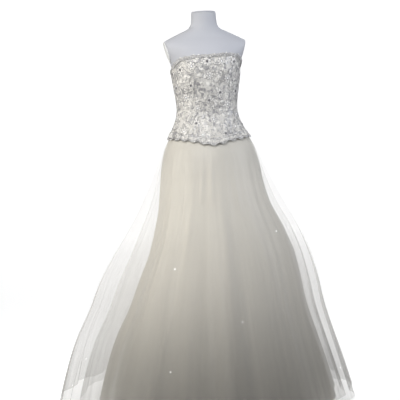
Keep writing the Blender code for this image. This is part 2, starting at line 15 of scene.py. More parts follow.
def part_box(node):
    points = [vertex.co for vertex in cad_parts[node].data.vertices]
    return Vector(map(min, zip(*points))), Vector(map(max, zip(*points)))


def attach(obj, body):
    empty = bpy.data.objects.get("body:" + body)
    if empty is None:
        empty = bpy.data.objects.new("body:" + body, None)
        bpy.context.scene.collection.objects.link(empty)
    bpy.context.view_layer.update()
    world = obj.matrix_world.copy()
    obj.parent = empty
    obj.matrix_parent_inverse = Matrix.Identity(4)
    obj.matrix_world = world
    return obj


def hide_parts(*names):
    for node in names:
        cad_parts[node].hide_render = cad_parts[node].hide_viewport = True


bl_info = {
    "name": "Wedding dress on a dress form",
    "version": (1, 0, 0),
    "blender": (4, 5, 0),
    "location": "View3D > Sidebar > Gown",
    "description": "A strapless ivory gown with a beaded basque bodice and tulle skirts on a dress form",
    "category": "Object",
}

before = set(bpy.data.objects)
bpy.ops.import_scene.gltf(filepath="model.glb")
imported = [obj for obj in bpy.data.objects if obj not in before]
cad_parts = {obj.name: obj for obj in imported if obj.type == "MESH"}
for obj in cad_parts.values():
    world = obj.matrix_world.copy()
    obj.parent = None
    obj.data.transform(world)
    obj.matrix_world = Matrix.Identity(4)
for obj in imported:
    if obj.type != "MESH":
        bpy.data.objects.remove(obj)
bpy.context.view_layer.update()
BODY = "gown_and_form"

# Walls and clearances of the cut pieces, as in the solids
SEAM_GAP = 0.0004
BODICE_WALL = 0.0024
BODICE_EASE = 0.0013
BUST_EASE = 0.0008
TRIM_WALL = 0.0014
TRIM_GAP = 0.0006
TULLE_WALL = 0.0012
LAYER_GAP = 0.0006
BASQUE_GAP = 0.0011
WAIST_HEIGHT = 1.145
# The outer tulle hangs free below this height, and is drawn in under the basque over this much above it
OVER_FREE_BELOW = 0.80
OVER_DRAWN_IN = 0.19
# Where the skirts begin, under the basque, and how far above the floor they end
SKIRT_TOP = 1.062
SKIRT_FOOT = 0.003

# Beaded edgings
NECKLINE_TRIM_WIDTH = 0.011
NECKLINE_TRIM_STAND = 0.001
BASQUE_TRIM_WIDTH = 0.020
BASQUE_TRIM_FOOT = 0.001
SCALLOPS = 26
SCALLOP_DROP = 0.0075
SCALLOP_ROUNDNESS = 0.7
TRIM_PARTING = 0.0055
BACK_SPAN = 0.2

# Zip
ZIP_TAPE_HALF_WIDTH = 0.0032
ZIP_TAPE_WALL = 0.0016
ZIP_TAPE_SINK = 0.0004

# Dress form
NECK_TOP = 1.549
TORSO_FOOT = 0.800
ARMHOLE_HALF_WIDTH = 0.1645
ARMHOLE_TOP = 1.440
ARMHOLE_FOOT = 1.350
ARMHOLE_LEAN = 0.30
ARMHOLE_FADE = 4
ARM_CAP_HEIGHT = 0.090
ARM_CAP_DEPTH = 0.076
ARM_CAP_CENTRE = 1.396
ARM_CAP_SET_BACK = 0.005
BUST_HEIGHT = 1.318
BUST_HALF_SPACING = 0.078
BUST_RISE = 0.012
BUST_SPREAD = 0.060
TOUCH_GAP = 0.0003
SMALL_TURN = 1e-4

# Level sections of the dress form: height, half width, depth before the pole, depth behind the pole
FORM_SECTIONS = (
    (0.800, 0.138, 0.104, 0.118),
    (0.870, 0.156, 0.114, 0.134),
    (0.940, 0.164, 0.116, 0.140),
    (1.000, 0.157, 0.110, 0.130),
    (1.060, 0.140, 0.101, 0.109),
    (1.112, 0.1255, 0.096, 0.095),
    (1.158, 0.1182, 0.094, 0.087),
    (1.203, 0.1205, 0.097, 0.088),
    (1.250, 0.1275, 0.103, 0.095),
    (1.300, 0.1345, 0.108, 0.102),
    (1.338, 0.1385, 0.108, 0.107),
    (1.365, 0.1500, 0.104, 0.108),
    (1.395, 0.1700, 0.096, 0.106),
    (1.418, 0.1800, 0.085, 0.101),
    (1.434, 0.1720, 0.074, 0.093),
    (1.448, 0.1480, 0.063, 0.082),
    (1.459, 0.1260, 0.057, 0.073),
    (1.473, 0.0960, 0.052, 0.065),
    (1.486, 0.0680, 0.050, 0.058),
    (1.500, 0.0560, 0.048, 0.053),
    (1.520, 0.0515, 0.047, 0.050),
    (1.549, 0.0500, 0.046, 0.049),
)
BOTH_SIDES = [0, 0, 1, 2]

# Level sections of the dress, to the crests of its folds, and how far inside them the two lower skirts hang.
# Columns: height, half width at the wearer's right, half width at the left, depth before the pole,
# depth behind the pole, inset of the inner tulle, inset of the satin
DRESS_SECTIONS = (
    (0.000, 0.655, 0.565, 0.600, 0.680, 0.056, 0.112),
    (0.120, 0.622, 0.530, 0.564, 0.640, 0.056, 0.112),
    (0.240, 0.580, 0.492, 0.524, 0.595, 0.056, 0.112),
    (0.360, 0.520, 0.456, 0.478, 0.545, 0.056, 0.112),
    (0.480, 0.468, 0.432, 0.428, 0.490, 0.054, 0.110),
    (0.580, 0.410, 0.403, 0.378, 0.436, 0.048, 0.100),
    (0.680, 0.346, 0.361, 0.324, 0.377, 0.038, 0.082),
    (0.780, 0.287, 0.303, 0.270, 0.318, 0.028, 0.060),
    (0.860, 0.248, 0.263, 0.230, 0.273, 0.018, 0.038),
    (0.930, 0.219, 0.230, 0.197, 0.233, 0.009, 0.018),
    (0.985, 0.196, 0.206, 0.171, 0.199, 0.003, 0.006),
    (1.017, 0.182, 0.191, 0.156, 0.178, 0.001, 0.002),
    (1.050, 0.164, 0.171, 0.138, 0.151, 0.000, 0.000),
    (1.085, 0.146, 0.148, 0.120, 0.126, 0.000, 0.000),
    (1.121, 0.1300, 0.1310, 0.105, 0.106, 0.000, 0.000),
    (1.158, 0.1222, 0.1222, 0.097, 0.090, 0.000, 0.000),
    (1.203, 0.1200, 0.1200, 0.095, 0.086, 0.000, 0.000),
    (1.400, 0.1200, 0.1200, 0.090, 0.090, 0.000, 0.000),
)
# The two lower skirts lean to the wearer's left by this share of their insets: from the first height down,
# and in full below the second
SPREAD_SHARE = 0.42
SPREAD_FROM = 0.90
SPREAD_FULL = 0.58

# The strapless top edge: angle in degrees, height
NECKLINE = (
    (0, 1.3760),
    (25, 1.3770),
    (40, 1.3740),
    (50, 1.3680),
    (60, 1.3590),
    (72, 1.3470),
    (84, 1.3350),
    (100, 1.3270),
    (130, 1.3210),
    (180, 1.3150),
)
# The dress sits this much lower at the wearer's right side than in front, and as much higher at the left
NECKLINE_TILT = 0.0085

# The basque's lower edge, above its scallops: angle in degrees, height
BASQUE_EDGE = (
    (0, 1.0290),
    (8, 1.0310),
    (20, 1.0400),
    (45, 1.0500),
    (90, 1.0560),
    (135, 1.0530),
    (180, 1.0450),
)

# Where the bodice's seams run: height, then princess, side and back seam in degrees from the centre front
SEAMS = (
    (1.000, 27, 88, 146),
    (1.070, 24, 88, 148),
    (1.145, 24, 89, 150),
    (1.240, 31, 91, 148),
    (1.320, 38, 92, 144),
    (1.400, 40, 92, 142),
)

# Soft folds of each skirt: how many, their half depth at the hem, and the wander of their spacing as
# pairs of (waves round the hem, shift in radians, start in radians)
FOLDS = {
    "over": (21, 0.015, ((2, 0.55, 0.4), (5, 0.42, 1.7), (9, 0.22, 0.2))),
    "under": (16, 0.012, ((3, 0.50, 2.1), (4, 0.35, 0.8), (7, 0.25, 1.1))),
    "satin": (12, 0.010, ((2, 0.45, 3.0), (3, 0.40, 1.3), (5, 0.20, 0.5))),
}
# Where the folds start, the power by which they grow towards the hem, and how their depth varies, as pairs
# of (waves round the hem, share of the depth)
FOLDS_START = 0.995
FOLD_FALL = 0.85
FOLD_UNEVEN = ((3, 0.28), (7, 0.20))

# Finer ripples that the solids don't have: how many round the hem, half depth at the hem
RIPPLES = {"over": (55, 0.0035), "under": (43, 0.0035), "satin": (0, 0.0)}
RIPPLE_WANDER = ((4, 1.3, 0.7), (7, 0.9, 2.2), (11, 0.6, 0.1))
# They sway by this many radians as they fall, in waves of this many radians a metre, and vary in depth
RIPPLE_SWAY = 1.1
RIPPLE_SWAY_PACE = 3.1
RIPPLE_UNEVEN = 0.4

# Creases of the satin: angle at the top and at the foot in degrees, height of the top and of the
# foot, half width, height of the ridge (a trough is negative)
SATIN_CREASES = (
    (-4, -6, 1.000, 0.780, 0.012, 0.0045),
    (-15, -17, 0.930, 0.790, 0.010, 0.0035),
    (-37, -38, 0.850, 0.600, 0.012, -0.0035),
    (-27, -29, 0.800, 0.560, 0.018, 0.0040),
    (5, 2, 0.860, 0.150, 0.022, 0.0050),
    (32, 33, 0.660, 0.420, 0.020, 0.0050),
    (11, 12, 0.420, 0.230, 0.012, 0.0035),
    (-34, -36, 0.400, 0.000, 0.018, 0.0060),
    (20, 21, 0.920, 0.740, 0.014, 0.0035),
    (48, 46, 0.780, 0.300, 0.022, -0.0045),
    (-55, -58, 0.700, 0.100, 0.024, 0.0055),
)
# A crease follows nine tenths of half a wave from its foot up, and starts a tenth later where it begins at
# the hem
CREASE_SPAN = 0.9
CREASE_HEM_START = 0.1
CREASE_ROUNDNESS = 0.7
# The creases begin this far above the folds and are full after the fade
CREASE_START = 0.03
CREASE_FADE = 0.1
# They are repeated round the sides and the back, turned by these degrees and moved up or down by the shift
HIDDEN_TURNS = (97, 176, 251)
HIDDEN_SHIFT = 0.06
HIDDEN_SHIFT_PACE = 2.4

# Crystals on the outer tulle that are placed one by one: angle in degrees, height
PLACED_CRYSTALS = ((-28.0, 0.568), (37.0, 0.682), (4.8, 0.377), (-24.6, 0.213))


def hex_linear(code):
    """An sRGB hex colour as linear red, green and blue."""
    parts = np.array([int(code[i : i + 2], 16) for i in (1, 3, 5)]) / 255
    return tuple(np.where(parts <= 0.04045, parts / 12.92, ((parts + 0.055) / 1.055) ** 2.4))


class GownSettings(bpy.types.PropertyGroup):
    """Sizes and colours that a user would change."""

    satin_colour: bpy.props.FloatVectorProperty(
        name="Satin", description="Colour of the skirt's satin", subtype="COLOR", size=3, min=0, max=1,
        default=hex_linear("#DDD9CF"),
    )
    tulle_colour: bpy.props.FloatVectorProperty(
        name="Tulle", description="Colour of the tulle's yarn", subtype="COLOR", size=3, min=0, max=1,
        default=hex_linear("#ECEAE6"),
    )
    thread_colour: bpy.props.FloatVectorProperty(
        name="Thread", description="Colour of the silver embroidery", subtype="COLOR", size=3, min=0, max=1,
        default=hex_linear("#BBBABA"),
    )
    form_colour: bpy.props.FloatVectorProperty(
        name="Form", description="Colour of the dress form's jersey", subtype="COLOR", size=3, min=0, max=1,
        default=hex_linear("#BEC0C7"),
    )
    veil: bpy.props.FloatProperty(
        name="Veil", description="How much of the view each tulle layer covers at the hem", subtype="FACTOR",
        min=0.05, max=0.42, default=0.40,
    )
    bead_diameter: bpy.props.FloatProperty(
        name="Bead", description="Diameter of the seed beads", unit="LENGTH",
        min=0.001, max=0.006, default=0.0026,
    )
    flower_width: bpy.props.FloatProperty(
        name="Flower", description="Width of a large embroidered flower", unit="LENGTH",
        min=0.01, max=0.06, default=0.036,
    )
    crystal_diameter: bpy.props.FloatProperty(
        name="Crystal", description="Diameter of the crystals on the skirt", unit="LENGTH",
        min=0.002, max=0.01, default=0.0056,
    )


def settings():
    """The sizes and colours in use."""
    return bpy.context.scene.gown


# Surfaces of form and dress


def smooth(rows, at):
    """The columns of a table at the given places: a cubic through the rows, sloped by their neighbours."""
    rows = np.array(rows, float)
    places, values = rows[:, 0], rows[:, 1:]
    slopes = np.gradient(values, places, axis=0)
    at = np.clip(at, places[0], places[-1])
    i = np.clip(np.searchsorted(places, at) - 1, 0, len(places) - 2)
    step = (places[i + 1] - places[i])[..., None]
    t = (at - places[i])[..., None] / step
    start = (1 + 2 * t) * (1 - t) ** 2 * values[i] + t * (1 - t) ** 2 * step * slopes[i]
    end = t**2 * (3 - 2 * t) * values[i + 1] + t**2 * (t - 1) * step * slopes[i + 1]
    return start + end


def from_front(angle):
    """The angle from the centre front in degrees, 0 to 180, alike on both sides."""
    turned = np.mod(np.degrees(angle), 360)
    return np.minimum(turned, 360 - turned)


def neckline(angle):
    """Height of the top edge, higher at the wearer's left."""
    return smooth(NECKLINE, from_front(angle))[..., 0] + NECKLINE_TILT * np.sin(angle)


def basque_edge(angle):
    """Height of the basque's edge, above its scallops."""
    return smooth(BASQUE_EDGE, from_front(angle))[..., 0]


def scalloped_edge(angle):
    """Height of the basque edging's lower edge: an arch for each scallop below the basque's edge."""
    drop = SCALLOP_DROP * np.abs(np.cos(SCALLOPS * angle / 2)) ** SCALLOP_ROUNDNESS
    return basque_edge(angle) - BASQUE_TRIM_FOOT - drop


def seam_angle(which, z):
    """Angle in radians of seam 0 (princess), 1 (side) or 2 (back) at each height."""
    return np.radians(smooth(SEAMS, z)[..., which])


def oval(angle, right, left, front, back):
    """Points of an oval section with its own reach at the wearer's right and left, in front and behind."""
    width = np.where(np.sin(angle) > 0, left, right)
    depth = np.where(np.cos(angle) > 0, front, back)
    return np.stack([width * np.sin(angle), -depth * np.cos(angle)], -1)


def bust(points, angle, z, ease=0.0):
    """Points with the fullness of the bust: two bells, exp(-distance squared), pushed to the front."""
    side = (np.abs(points[..., 0]) - BUST_HALF_SPACING) / BUST_SPREAD
    height = (z - BUST_HEIGHT) / BUST_SPREAD
    rise = (BUST_RISE + ease) * np.exp(-(side**2) - height**2) * np.clip(np.cos(angle), 0, 1)
    return points - np.stack([np.zeros_like(rise), rise], -1)


def form_face(angle, z):
    """The dress form's outside: ovals, cut flat at the armholes by two leaning planes."""
    section = smooth(FORM_SECTIONS, z)[..., BOTH_SIDES]
    points = bust(oval(angle, *np.moveaxis(section, -1, 0)), angle, z)
    below = np.maximum(ARMHOLE_FOOT - z, 0) * ARMHOLE_FADE
    limit = ARMHOLE_HALF_WIDTH + ARMHOLE_LEAN * (z - ARMHOLE_TOP) + below
    points[..., 0] = np.clip(points[..., 0], -limit, limit)
    return points


def dress_face(angle, z):
    """The dress's outside without its folds: the flare from the waist, or the eased form if that is wider."""
    flare = smooth(DRESS_SECTIONS, z)[..., :4]
    worn = smooth(FORM_SECTIONS, z)[..., BOTH_SIDES] + BODICE_EASE + BODICE_WALL
    section = np.where((z > TORSO_FOOT)[..., None], np.maximum(flare, worn), flare)
    return bust(oval(angle, *np.moveaxis(section, -1, 0)), angle, z, BUST_EASE)


def moved_out(face, angle, z, distance):
    """Points of a face moved out level, square to its ring, by the distance."""
    along = face(angle + SMALL_TURN, z) - face(angle - SMALL_TURN, z)
    out = np.stack([along[..., 1], -along[..., 0]], -1)
    out = out / np.linalg.norm(out, axis=-1, keepdims=True)
    return face(angle, z) + out * np.asarray(distance)[..., None]


def ring_pace(face, angle, z):
    """Metres along the ring of a face for each radian."""
    along = face(angle + SMALL_TURN, z) - face(angle - SMALL_TURN, z)
    return np.linalg.norm(along, axis=-1) / (2 * SMALL_TURN)


def at_height(flat_points, z):
    """Points of level rings with their height added."""
    return np.concatenate([flat_points, np.broadcast_to(z, flat_points.shape[:-1])[..., None]], -1)


def wandering(count, wander, angle):
    """A phase that runs from 0 to 2 pi for each fold, and wanders so that no two folds are alike."""
    phase = count * angle
    for waves, shift, start in wander:
        phase = phase + shift * np.sin(waves * angle + start)
    return phase


def fullness(z):
    """How full the folds are: nothing where they start under the basque, 1 at the hem."""
    return np.clip((FOLDS_START - z) / FOLDS_START, 0, 1) ** FOLD_FALL


def fold_depth(layer, angle, z):
    """Half the depth of a skirt's folds: nothing under the basque, full and uneven at the hem."""
    count, depth, _ = FOLDS[layer]
    uneven = 1
    for turn, (waves, share) in enumerate(FOLD_UNEVEN, 1):
        uneven = uneven + share * np.sin(waves * angle + turn * count)
    return depth * fullness(z) * uneven / (1 + sum(share for _, share in FOLD_UNEVEN))


def skirt_inset(layer, angle, z):
    """How far a skirt hangs inside the dress's outline, with the stack of walls under the basque."""
    spread = SPREAD_SHARE * np.clip((SPREAD_FROM - z) / (SPREAD_FROM - SPREAD_FULL), 0, 1)
    inner = smooth(DRESS_SECTIONS, z)[..., 4:] * (1 - spread * np.sin(angle))[..., None]
    over = BODICE_WALL + BASQUE_GAP
    under = over + TULLE_WALL + LAYER_GAP
    satin = under + TULLE_WALL + LAYER_GAP
    if layer == "over":
        return over * np.clip((z - OVER_FREE_BELOW) / OVER_DRAWN_IN, 0, 1)
    if layer == "under":
        return under + inner[..., 0]
    return satin + inner[..., 1]


def creases(angle, z):
    """Height of the satin's creases: each a bell across its line, faded along it by a sine."""
    height = np.zeros(np.broadcast(angle, z).shape)
    reach = smooth(DRESS_SECTIONS, z)[..., 0]
    for turn in (0, *HIDDEN_TURNS):
        for number, (top, foot, high, low, half_width, rise) in enumerate(SATIN_CREASES):
            shift = HIDDEN_SHIFT * math.sin(number * HIDDEN_SHIFT_PACE + turn) if turn else 0.0
            share = np.clip((z - low + shift) / (high - low), 0, 1)
            line = np.radians(turn + foot + (top - foot) * share)
            across = (np.mod(angle - line + math.pi, 2 * math.pi) - math.pi) * reach
            start = CREASE_HEM_START if low == 0 else 0.0
            fade = np.sin(math.pi * (share * CREASE_SPAN + start)) ** CREASE_ROUNDNESS
            height = height + rise * fade * np.exp(-((across / half_width) ** 2))
    return height


def skirt_face(layer):
    """The outside of one skirt: its section drawn in by the inset, folds that reach inwards as
    depth x (cos(phase) - 1), fine ripples of the same kind, and on the satin its creases."""
    folds, _, wander = FOLDS[layer]
    ripples, ripple_depth = RIPPLES[layer]

    def face(angle, z):
        points = moved_out(dress_face, angle, z, -skirt_inset(layer, angle, z))
        direction = points / np.linalg.norm(points, axis=-1, keepdims=True)
        wave = fold_depth(layer, angle, z) * (np.cos(wandering(folds, wander, angle)) - 1)
        if ripples:
            sway = RIPPLE_SWAY * np.sin(RIPPLE_SWAY_PACE * z + 2 * angle)
            lean = wandering(ripples, RIPPLE_WANDER, angle) + sway
            uneven = 1 - RIPPLE_UNEVEN + RIPPLE_UNEVEN * np.sin(5 * angle + 4 * z)
            wave = wave + ripple_depth * fullness(z) * (np.cos(lean) - 1) * uneven
        if layer == "satin":
            wave = wave + creases(angle, z) * np.clip((FOLDS_START + CREASE_START - z) / CREASE_FADE, 0, 1)
        return points + direction * wave[..., None]

    return face


# Meshes


def grid_faces(rows, columns, closed=False):
    """Corners of the cells of a grid, in order round each cell so that the face looks out."""
    across = columns if closed else columns - 1
    row, column = np.meshgrid(np.arange(rows - 1), np.arange(across), indexing="ij")
    after = (column + 1) % columns
    here = row * columns
    above = here + columns
    cells = [here + column, here + after, above + after, above + column]
    return np.stack(cells, -1).reshape(-1, 4)


def triangles_of(quads):
    """Each four-cornered cell as two triangles."""
    return np.concatenate([quads[:, [0, 1, 2]], quads[:, [0, 2, 3]]])


def add_piece(name, points, faces, material, slot, uv=None, replaces=(), flat=False):
    """A piece of the object from arrays of points and corners, riding on the gown's body."""
    points = np.asarray(points, np.float32).reshape(-1, 3)
    faces = np.asarray(faces, np.int32)
    mesh = bpy.data.meshes.new(name)
    mesh.vertices.add(len(points))
    mesh.vertices.foreach_set("co", points.ravel())
    mesh.loops.add(faces.size)
    mesh.loops.foreach_set("vertex_index", faces.ravel())
    mesh.polygons.add(len(faces))
    mesh.polygons.foreach_set("loop_start", np.arange(0, faces.size, faces.shape[1], dtype=np.int32))
    mesh.update(calc_edges=True)
    if uv is not None:
        layer = mesh.uv_layers.new(name="cut")
        layer.data.foreach_set("uv", np.asarray(uv, np.float32).reshape(-1, 2)[faces.ravel()].ravel())
    if flat:
        mesh.shade_flat()
    else:
        mesh.shade_smooth()
    mesh.materials.append(material)
    piece = bpy.data.objects.new(name, mesh)
    bpy.context.scene.collection.objects.link(piece)
    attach(piece, BODY)
    if replaces:
        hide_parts(*replaces)
    return piece


def add_sheet(name, points, material, slot, replaces=(), wall=0.0, uv=None):
    """A cloth from a grid of points, its cut in metres as its UV map, with a wall inwards where asked."""
    rows, columns = points.shape[:2]
    if uv is None:
        across = np.linalg.norm(np.diff(points, axis=1), axis=-1)
        along = np.linalg.norm(np.diff(points, axis=0), axis=-1)
        u = np.concatenate([np.zeros((rows, 1)), np.cumsum(across, axis=1)], axis=1)
        v = np.concatenate([np.zeros((1, columns)), np.cumsum(along, axis=0)], axis=0)
        uv = np.stack([u - u[:, -1:] / 2, v], -1)
    piece = add_piece(name, points, grid_faces(rows, columns), material, slot, uv, replaces)
    if wall:
        thick = piece.modifiers.new("wall", "SOLIDIFY")
        thick.thickness = wall
        thick.offset = -1
    return piece


def turned(profile, segments):
    """Points and triangles of a round shape: its profile (radius, height) runs out, up and back in."""
    profile = np.array(profile, float)
    turn = np.arange(segments) * 2 * math.pi / segments
    rim = profile[:, 0] > 0
    rings = profile[rim]
    x = rings[:, :1] * np.cos(turn)
    y = rings[:, :1] * np.sin(turn)
    z = np.broadcast_to(rings[:, 1:], x.shape)
    points = np.stack([x, y, z], -1).reshape(-1, 3)
    faces = [triangles_of(grid_faces(len(rings), segments, closed=True))]
    here = np.arange(segments)
    after = (here + 1) % segments
    if not rim[0]:
        faces.append(np.stack([after, here, np.full(segments, len(points))], -1))
        points = np.concatenate([points, [[0, 0, profile[0, 1]]]])
    if not rim[-1]:
        last = (len(rings) - 1) * segments
        faces.append(np.stack([last + here, last + after, np.full(segments, len(points))], -1))
        points = np.concatenate([points, [[0, 0, profile[-1, 1]]]])
    return points, np.concatenate(faces)


def carried(shape, face, angle, z, turn, size, lift, margin=None):
    """Copies of a small shape laid on a face. Its x runs along the ring, y up the cloth and z out of it:
    each point is turned, scaled, added to the copy's angle and height, and moved out of the face there.
    With a margin, points that would pass the bodice's edges by more than that are drawn back to it."""
    points, triangles = shape
    given = (angle, z, turn, size, lift)
    angle, z, turn, size, lift = (np.broadcast_to(v, np.shape(angle)).astype(float)[:, None] for v in given)
    x, y, out = points.T
    along = (x * np.cos(turn) - y * np.sin(turn)) * size
    up = (x * np.sin(turn) + y * np.cos(turn)) * size
    at_angle = angle + along / ring_pace(face, angle, z)
    at_z = z + up
    if margin is not None:
        at_z = np.clip(at_z, basque_edge(at_angle) - margin, neckline(at_angle) + margin)
    placed = at_height(moved_out(face, at_angle, at_z, lift + out * size), at_z)
    first = np.arange(len(angle))[:, None, None] * len(points)
    return placed.reshape(-1, 3), (triangles + first).reshape(-1, 3)


def joined(*shapes):
    """Several shapes as one."""
    points, faces, count = [], [], 0
    for shape_points, shape_faces in shapes:
        points.append(shape_points)
        faces.append(shape_faces + count)
        count += len(shape_points)
    return np.concatenate(points), np.concatenate(faces)


def bead_shape():
    """A round bead one unit wide, with six sides."""
    return turned(((0, 0), (0.43, 0.22), (0.43, 0.68), (0, 0.9)), 6)


def crystal_shape():
    """A cut stone one unit wide: a table, sloping facets and a girdle."""
    return turned(((0, 0), (0.46, 0.05), (0.5, 0.18), (0.28, 0.42), (0, 0.42)), 8)


def petal_half_width(t):
    """Half the width of a petal one unit long, by the share t of its length: half a wave, leaning back."""
    return 0.30 * np.sin(math.pi * t**0.75) ** 0.8 + 0.03


def petal_shape(rows=6, columns=5):
    """A petal one unit long from the origin along y: a pad raised in the middle."""
    t = np.linspace(0.04, 1, rows)[:, None]
    s = np.linspace(-1, 1, columns)[None, :]
    x = s * petal_half_width(t)
    y = t + 0 * s
    out = 0.07 * (1 - s**2) * np.sin(math.pi * t) + 0.012
    points = np.stack([x, y, out], -1).reshape(-1, 3)
    return points, triangles_of(grid_faces(rows, columns))


def tube_along(path, radius, sides=5):
    """A cord lying on the cloth along a path of (x, y) points: a ring square to the path at each point."""
    path = np.asarray(path, float)
    along = np.gradient(path, axis=0)
    along /= np.linalg.norm(along, axis=1, keepdims=True)
    side = np.stack([along[:, 1], -along[:, 0]], -1)
    turn = np.arange(sides) * 2 * math.pi / sides + math.pi / 2
    radius = np.broadcast_to(radius, len(path))[:, None]
    flat = path[:, None] + side[:, None] * (radius * np.cos(turn))[..., None]
    out = radius * np.sin(turn) + radius
    points = np.concatenate([flat, out[..., None]], -1).reshape(-1, 3)
    rows = len(path)
    faces = triangles_of(grid_faces(rows, sides, closed=True))
    ends = []
    for row, order in ((0, 1), (rows - 1, -1)):
        ring = row * sides + np.arange(sides)[::order]
        ends.append(np.stack([np.full(sides - 2, ring[0]), ring[2:], ring[1:-1]], -1))
    return points, np.concatenate([faces, *ends])


def petal_outline():
    """The cord round a petal one unit long."""
    t = np.concatenate([np.linspace(0.05, 1, 8), np.linspace(1, 0.05, 8)[1:]])
    side = np.concatenate([-np.ones(8), np.ones(7)])
    return tube_along(np.stack([side * petal_half_width(t), t], -1), 0.045, 4)


def scroll_shape():
    """A stem about one unit long that ends in a curl: it bends one way, then the other, then winds in."""
    t = np.linspace(0, 1, 26)
    curl = np.clip((t - 0.62) / 0.38, 0, 1)
    heading = 1.1 * np.sin(2 * math.pi * t * 0.8) + 4.6 * curl**1.6
    step = 1.35 / len(t) * (1 - 0.55 * curl)
    path = np.stack([np.cumsum(np.sin(heading) * step), np.cumsum(np.cos(heading) * step)], -1)
    return tube_along(path - path[0], 0.030 * (1 - 0.45 * t), 5)


def ring_shape():
    """A ring of cord one unit across."""
    turn = np.linspace(0, 2 * math.pi, 11)
    return tube_along(np.stack([0.5 * np.sin(turn), 0.5 * np.cos(turn)], -1), 0.13, 4)


def loop_shape():
    """An oval loop of cord, one unit wide and 1.6 long."""
    turn = np.linspace(0, 2 * math.pi, 11)
    return tube_along(np.stack([0.5 * np.sin(turn), 0.8 * np.cos(turn)], -1), 0.15, 4)


# Materials


def add(tree, kind, inputs=(), **values):
    """Adds one node with its settings. An input is a value, or another node's output that is linked to it."""
    node = tree.nodes.new(kind)
    for key, value in values.items():
        setattr(node, key, value)
    for socket, value in dict(inputs).items():
        if isinstance(value, bpy.types.NodeSocket):
            tree.links.new(value, node.inputs[socket])
        else:
            node.inputs[socket].default_value = value
    return node


def principled(name, colour, roughness, metallic=0.0, sheen=0.0, specular=0.5):
    """A new material with one Principled shader; returns the material, its tree and the shader."""
    material = bpy.data.materials.new(name)
    material.use_nodes = True
    shader = material.node_tree.nodes["Principled BSDF"]
    shader.inputs["Base Color"].default_value = (*colour, 1)
    shader.inputs["Roughness"].default_value = roughness
    shader.inputs["Metallic"].default_value = metallic
    shader.inputs["Specular IOR Level"].default_value = specular
    shader.inputs["Sheen Weight"].default_value = sheen
    shader.inputs["Sheen Roughness"].default_value = 0.4
    return material, material.node_tree, shader


def shades(colour, darker, lighter):
    """A darker and a lighter shade of a colour."""
    return [tuple(min(1.0, c * share) for c in colour) for share in (darker, lighter)]


def cloth_coordinates(tree, source, scale=(1, 1, 1)):
    """Coordinates in pattern repeats: the cut's UV map or the object's own place, scaled axis by axis."""
    coordinates = add(tree, "ShaderNodeTexCoord")
    scaled = add(tree, "ShaderNodeMapping", {"Vector": coordinates.outputs[source], "Scale": scale})
    return scaled.outputs["Vector"]


def height_in_skirt(tree):
    """The height above the floor in metres, from the skirts' own map."""
    return add(tree, "ShaderNodeSeparateXYZ", {"Vector": cloth_coordinates(tree, "UV")}).outputs["Y"]


def run_between(tree, shader, share, low, high):
    """Lets the base colour run from one colour to another by the share that a node gives."""
    mix = add(tree, "ShaderNodeMix", {"Factor": share, 6: (*low, 1), 7: (*high, 1)}, data_type="RGBA")
    tree.links.new(mix.outputs[2], shader.inputs["Base Color"])


def mottle(tree, shader, vector, colour, darker, lighter):
    """Lets the base colour drift between a darker and a lighter shade."""
    noise = add(tree, "ShaderNodeTexNoise", {"Vector": vector, "Scale": 1.0, "Detail": 2.0})
    run_between(tree, shader, noise.outputs["Fac"], *shades(colour, darker, lighter))


def bump(tree, shader, height, distance, strength=1.0):
    """Raises the surface by up to the distance in metres."""
    made = add(tree, "ShaderNodeBump", {"Height": height, "Distance": distance, "Strength": strength})
    tree.links.new(made.outputs["Normal"], shader.inputs["Normal"])


def jersey():
    """Polyester jersey stretched over a moulded form: matt, with no more than a soft grain."""
    colour = tuple(settings().form_colour)
    material, tree, shader = principled("polyester_jersey", colour, 0.62, sheen=0.15, specular=0.3)
    mottle(tree, shader, cloth_coordinates(tree, "Object", (9, 9, 9)), colour, 0.95, 1.04)
    # The knit's loops of 0.8 mm are too fine to show, and stand as a grain of 2.4 by 4 mm
    vector = cloth_coordinates(tree, "Object", (420, 420, 260))
    knit = add(tree, "ShaderNodeTexNoise", {"Vector": vector, "Scale": 1.0})
    bump(tree, shader, knit.outputs["Fac"], 0.0004, 0.5)
    return material


def drill():
    """The paler cotton drill of the armhole plates."""
    colour = hex_linear("#E9EAEB")
    material, tree, shader = principled("cotton_drill", colour, 0.7, sheen=0.1, specular=0.3)
    mottle(tree, shader, cloth_coordinates(tree, "Object", (60, 60, 60)), colour, 0.96, 1.03)
    return material


def satin():
    """Duchess satin, woven of polyester filament: smooth and softly lustrous along its folds."""
    colour = tuple(settings().satin_colour)
    material, tree, shader = principled("duchess_satin", colour, 0.42, sheen=0.55, specular=0.45)
    # Painted shade right under the basque: a tone deeper where the gathers crowd together in its shadow
    basque_shade = add(
        tree, "ShaderNodeMapRange", {"Value": height_in_skirt(tree), "From Min": 0.97, "From Max": 0.86}
    )
    run_between(tree, shader, basque_shade.outputs["Result"], *shades(colour, 0.84, 1.0))
    # The weave's floats of 0.3 mm are too fine to show, and soft slubs of 6 by 120 mm stand for its drape
    vector = cloth_coordinates(tree, "UV", (33, 1.6, 1))
    slubs = add(tree, "ShaderNodeTexNoise", {"Vector": vector, "Scale": 5.0, "Detail": 1.0})
    bump(tree, shader, slubs.outputs["Fac"], 0.004, 0.2)
    return material


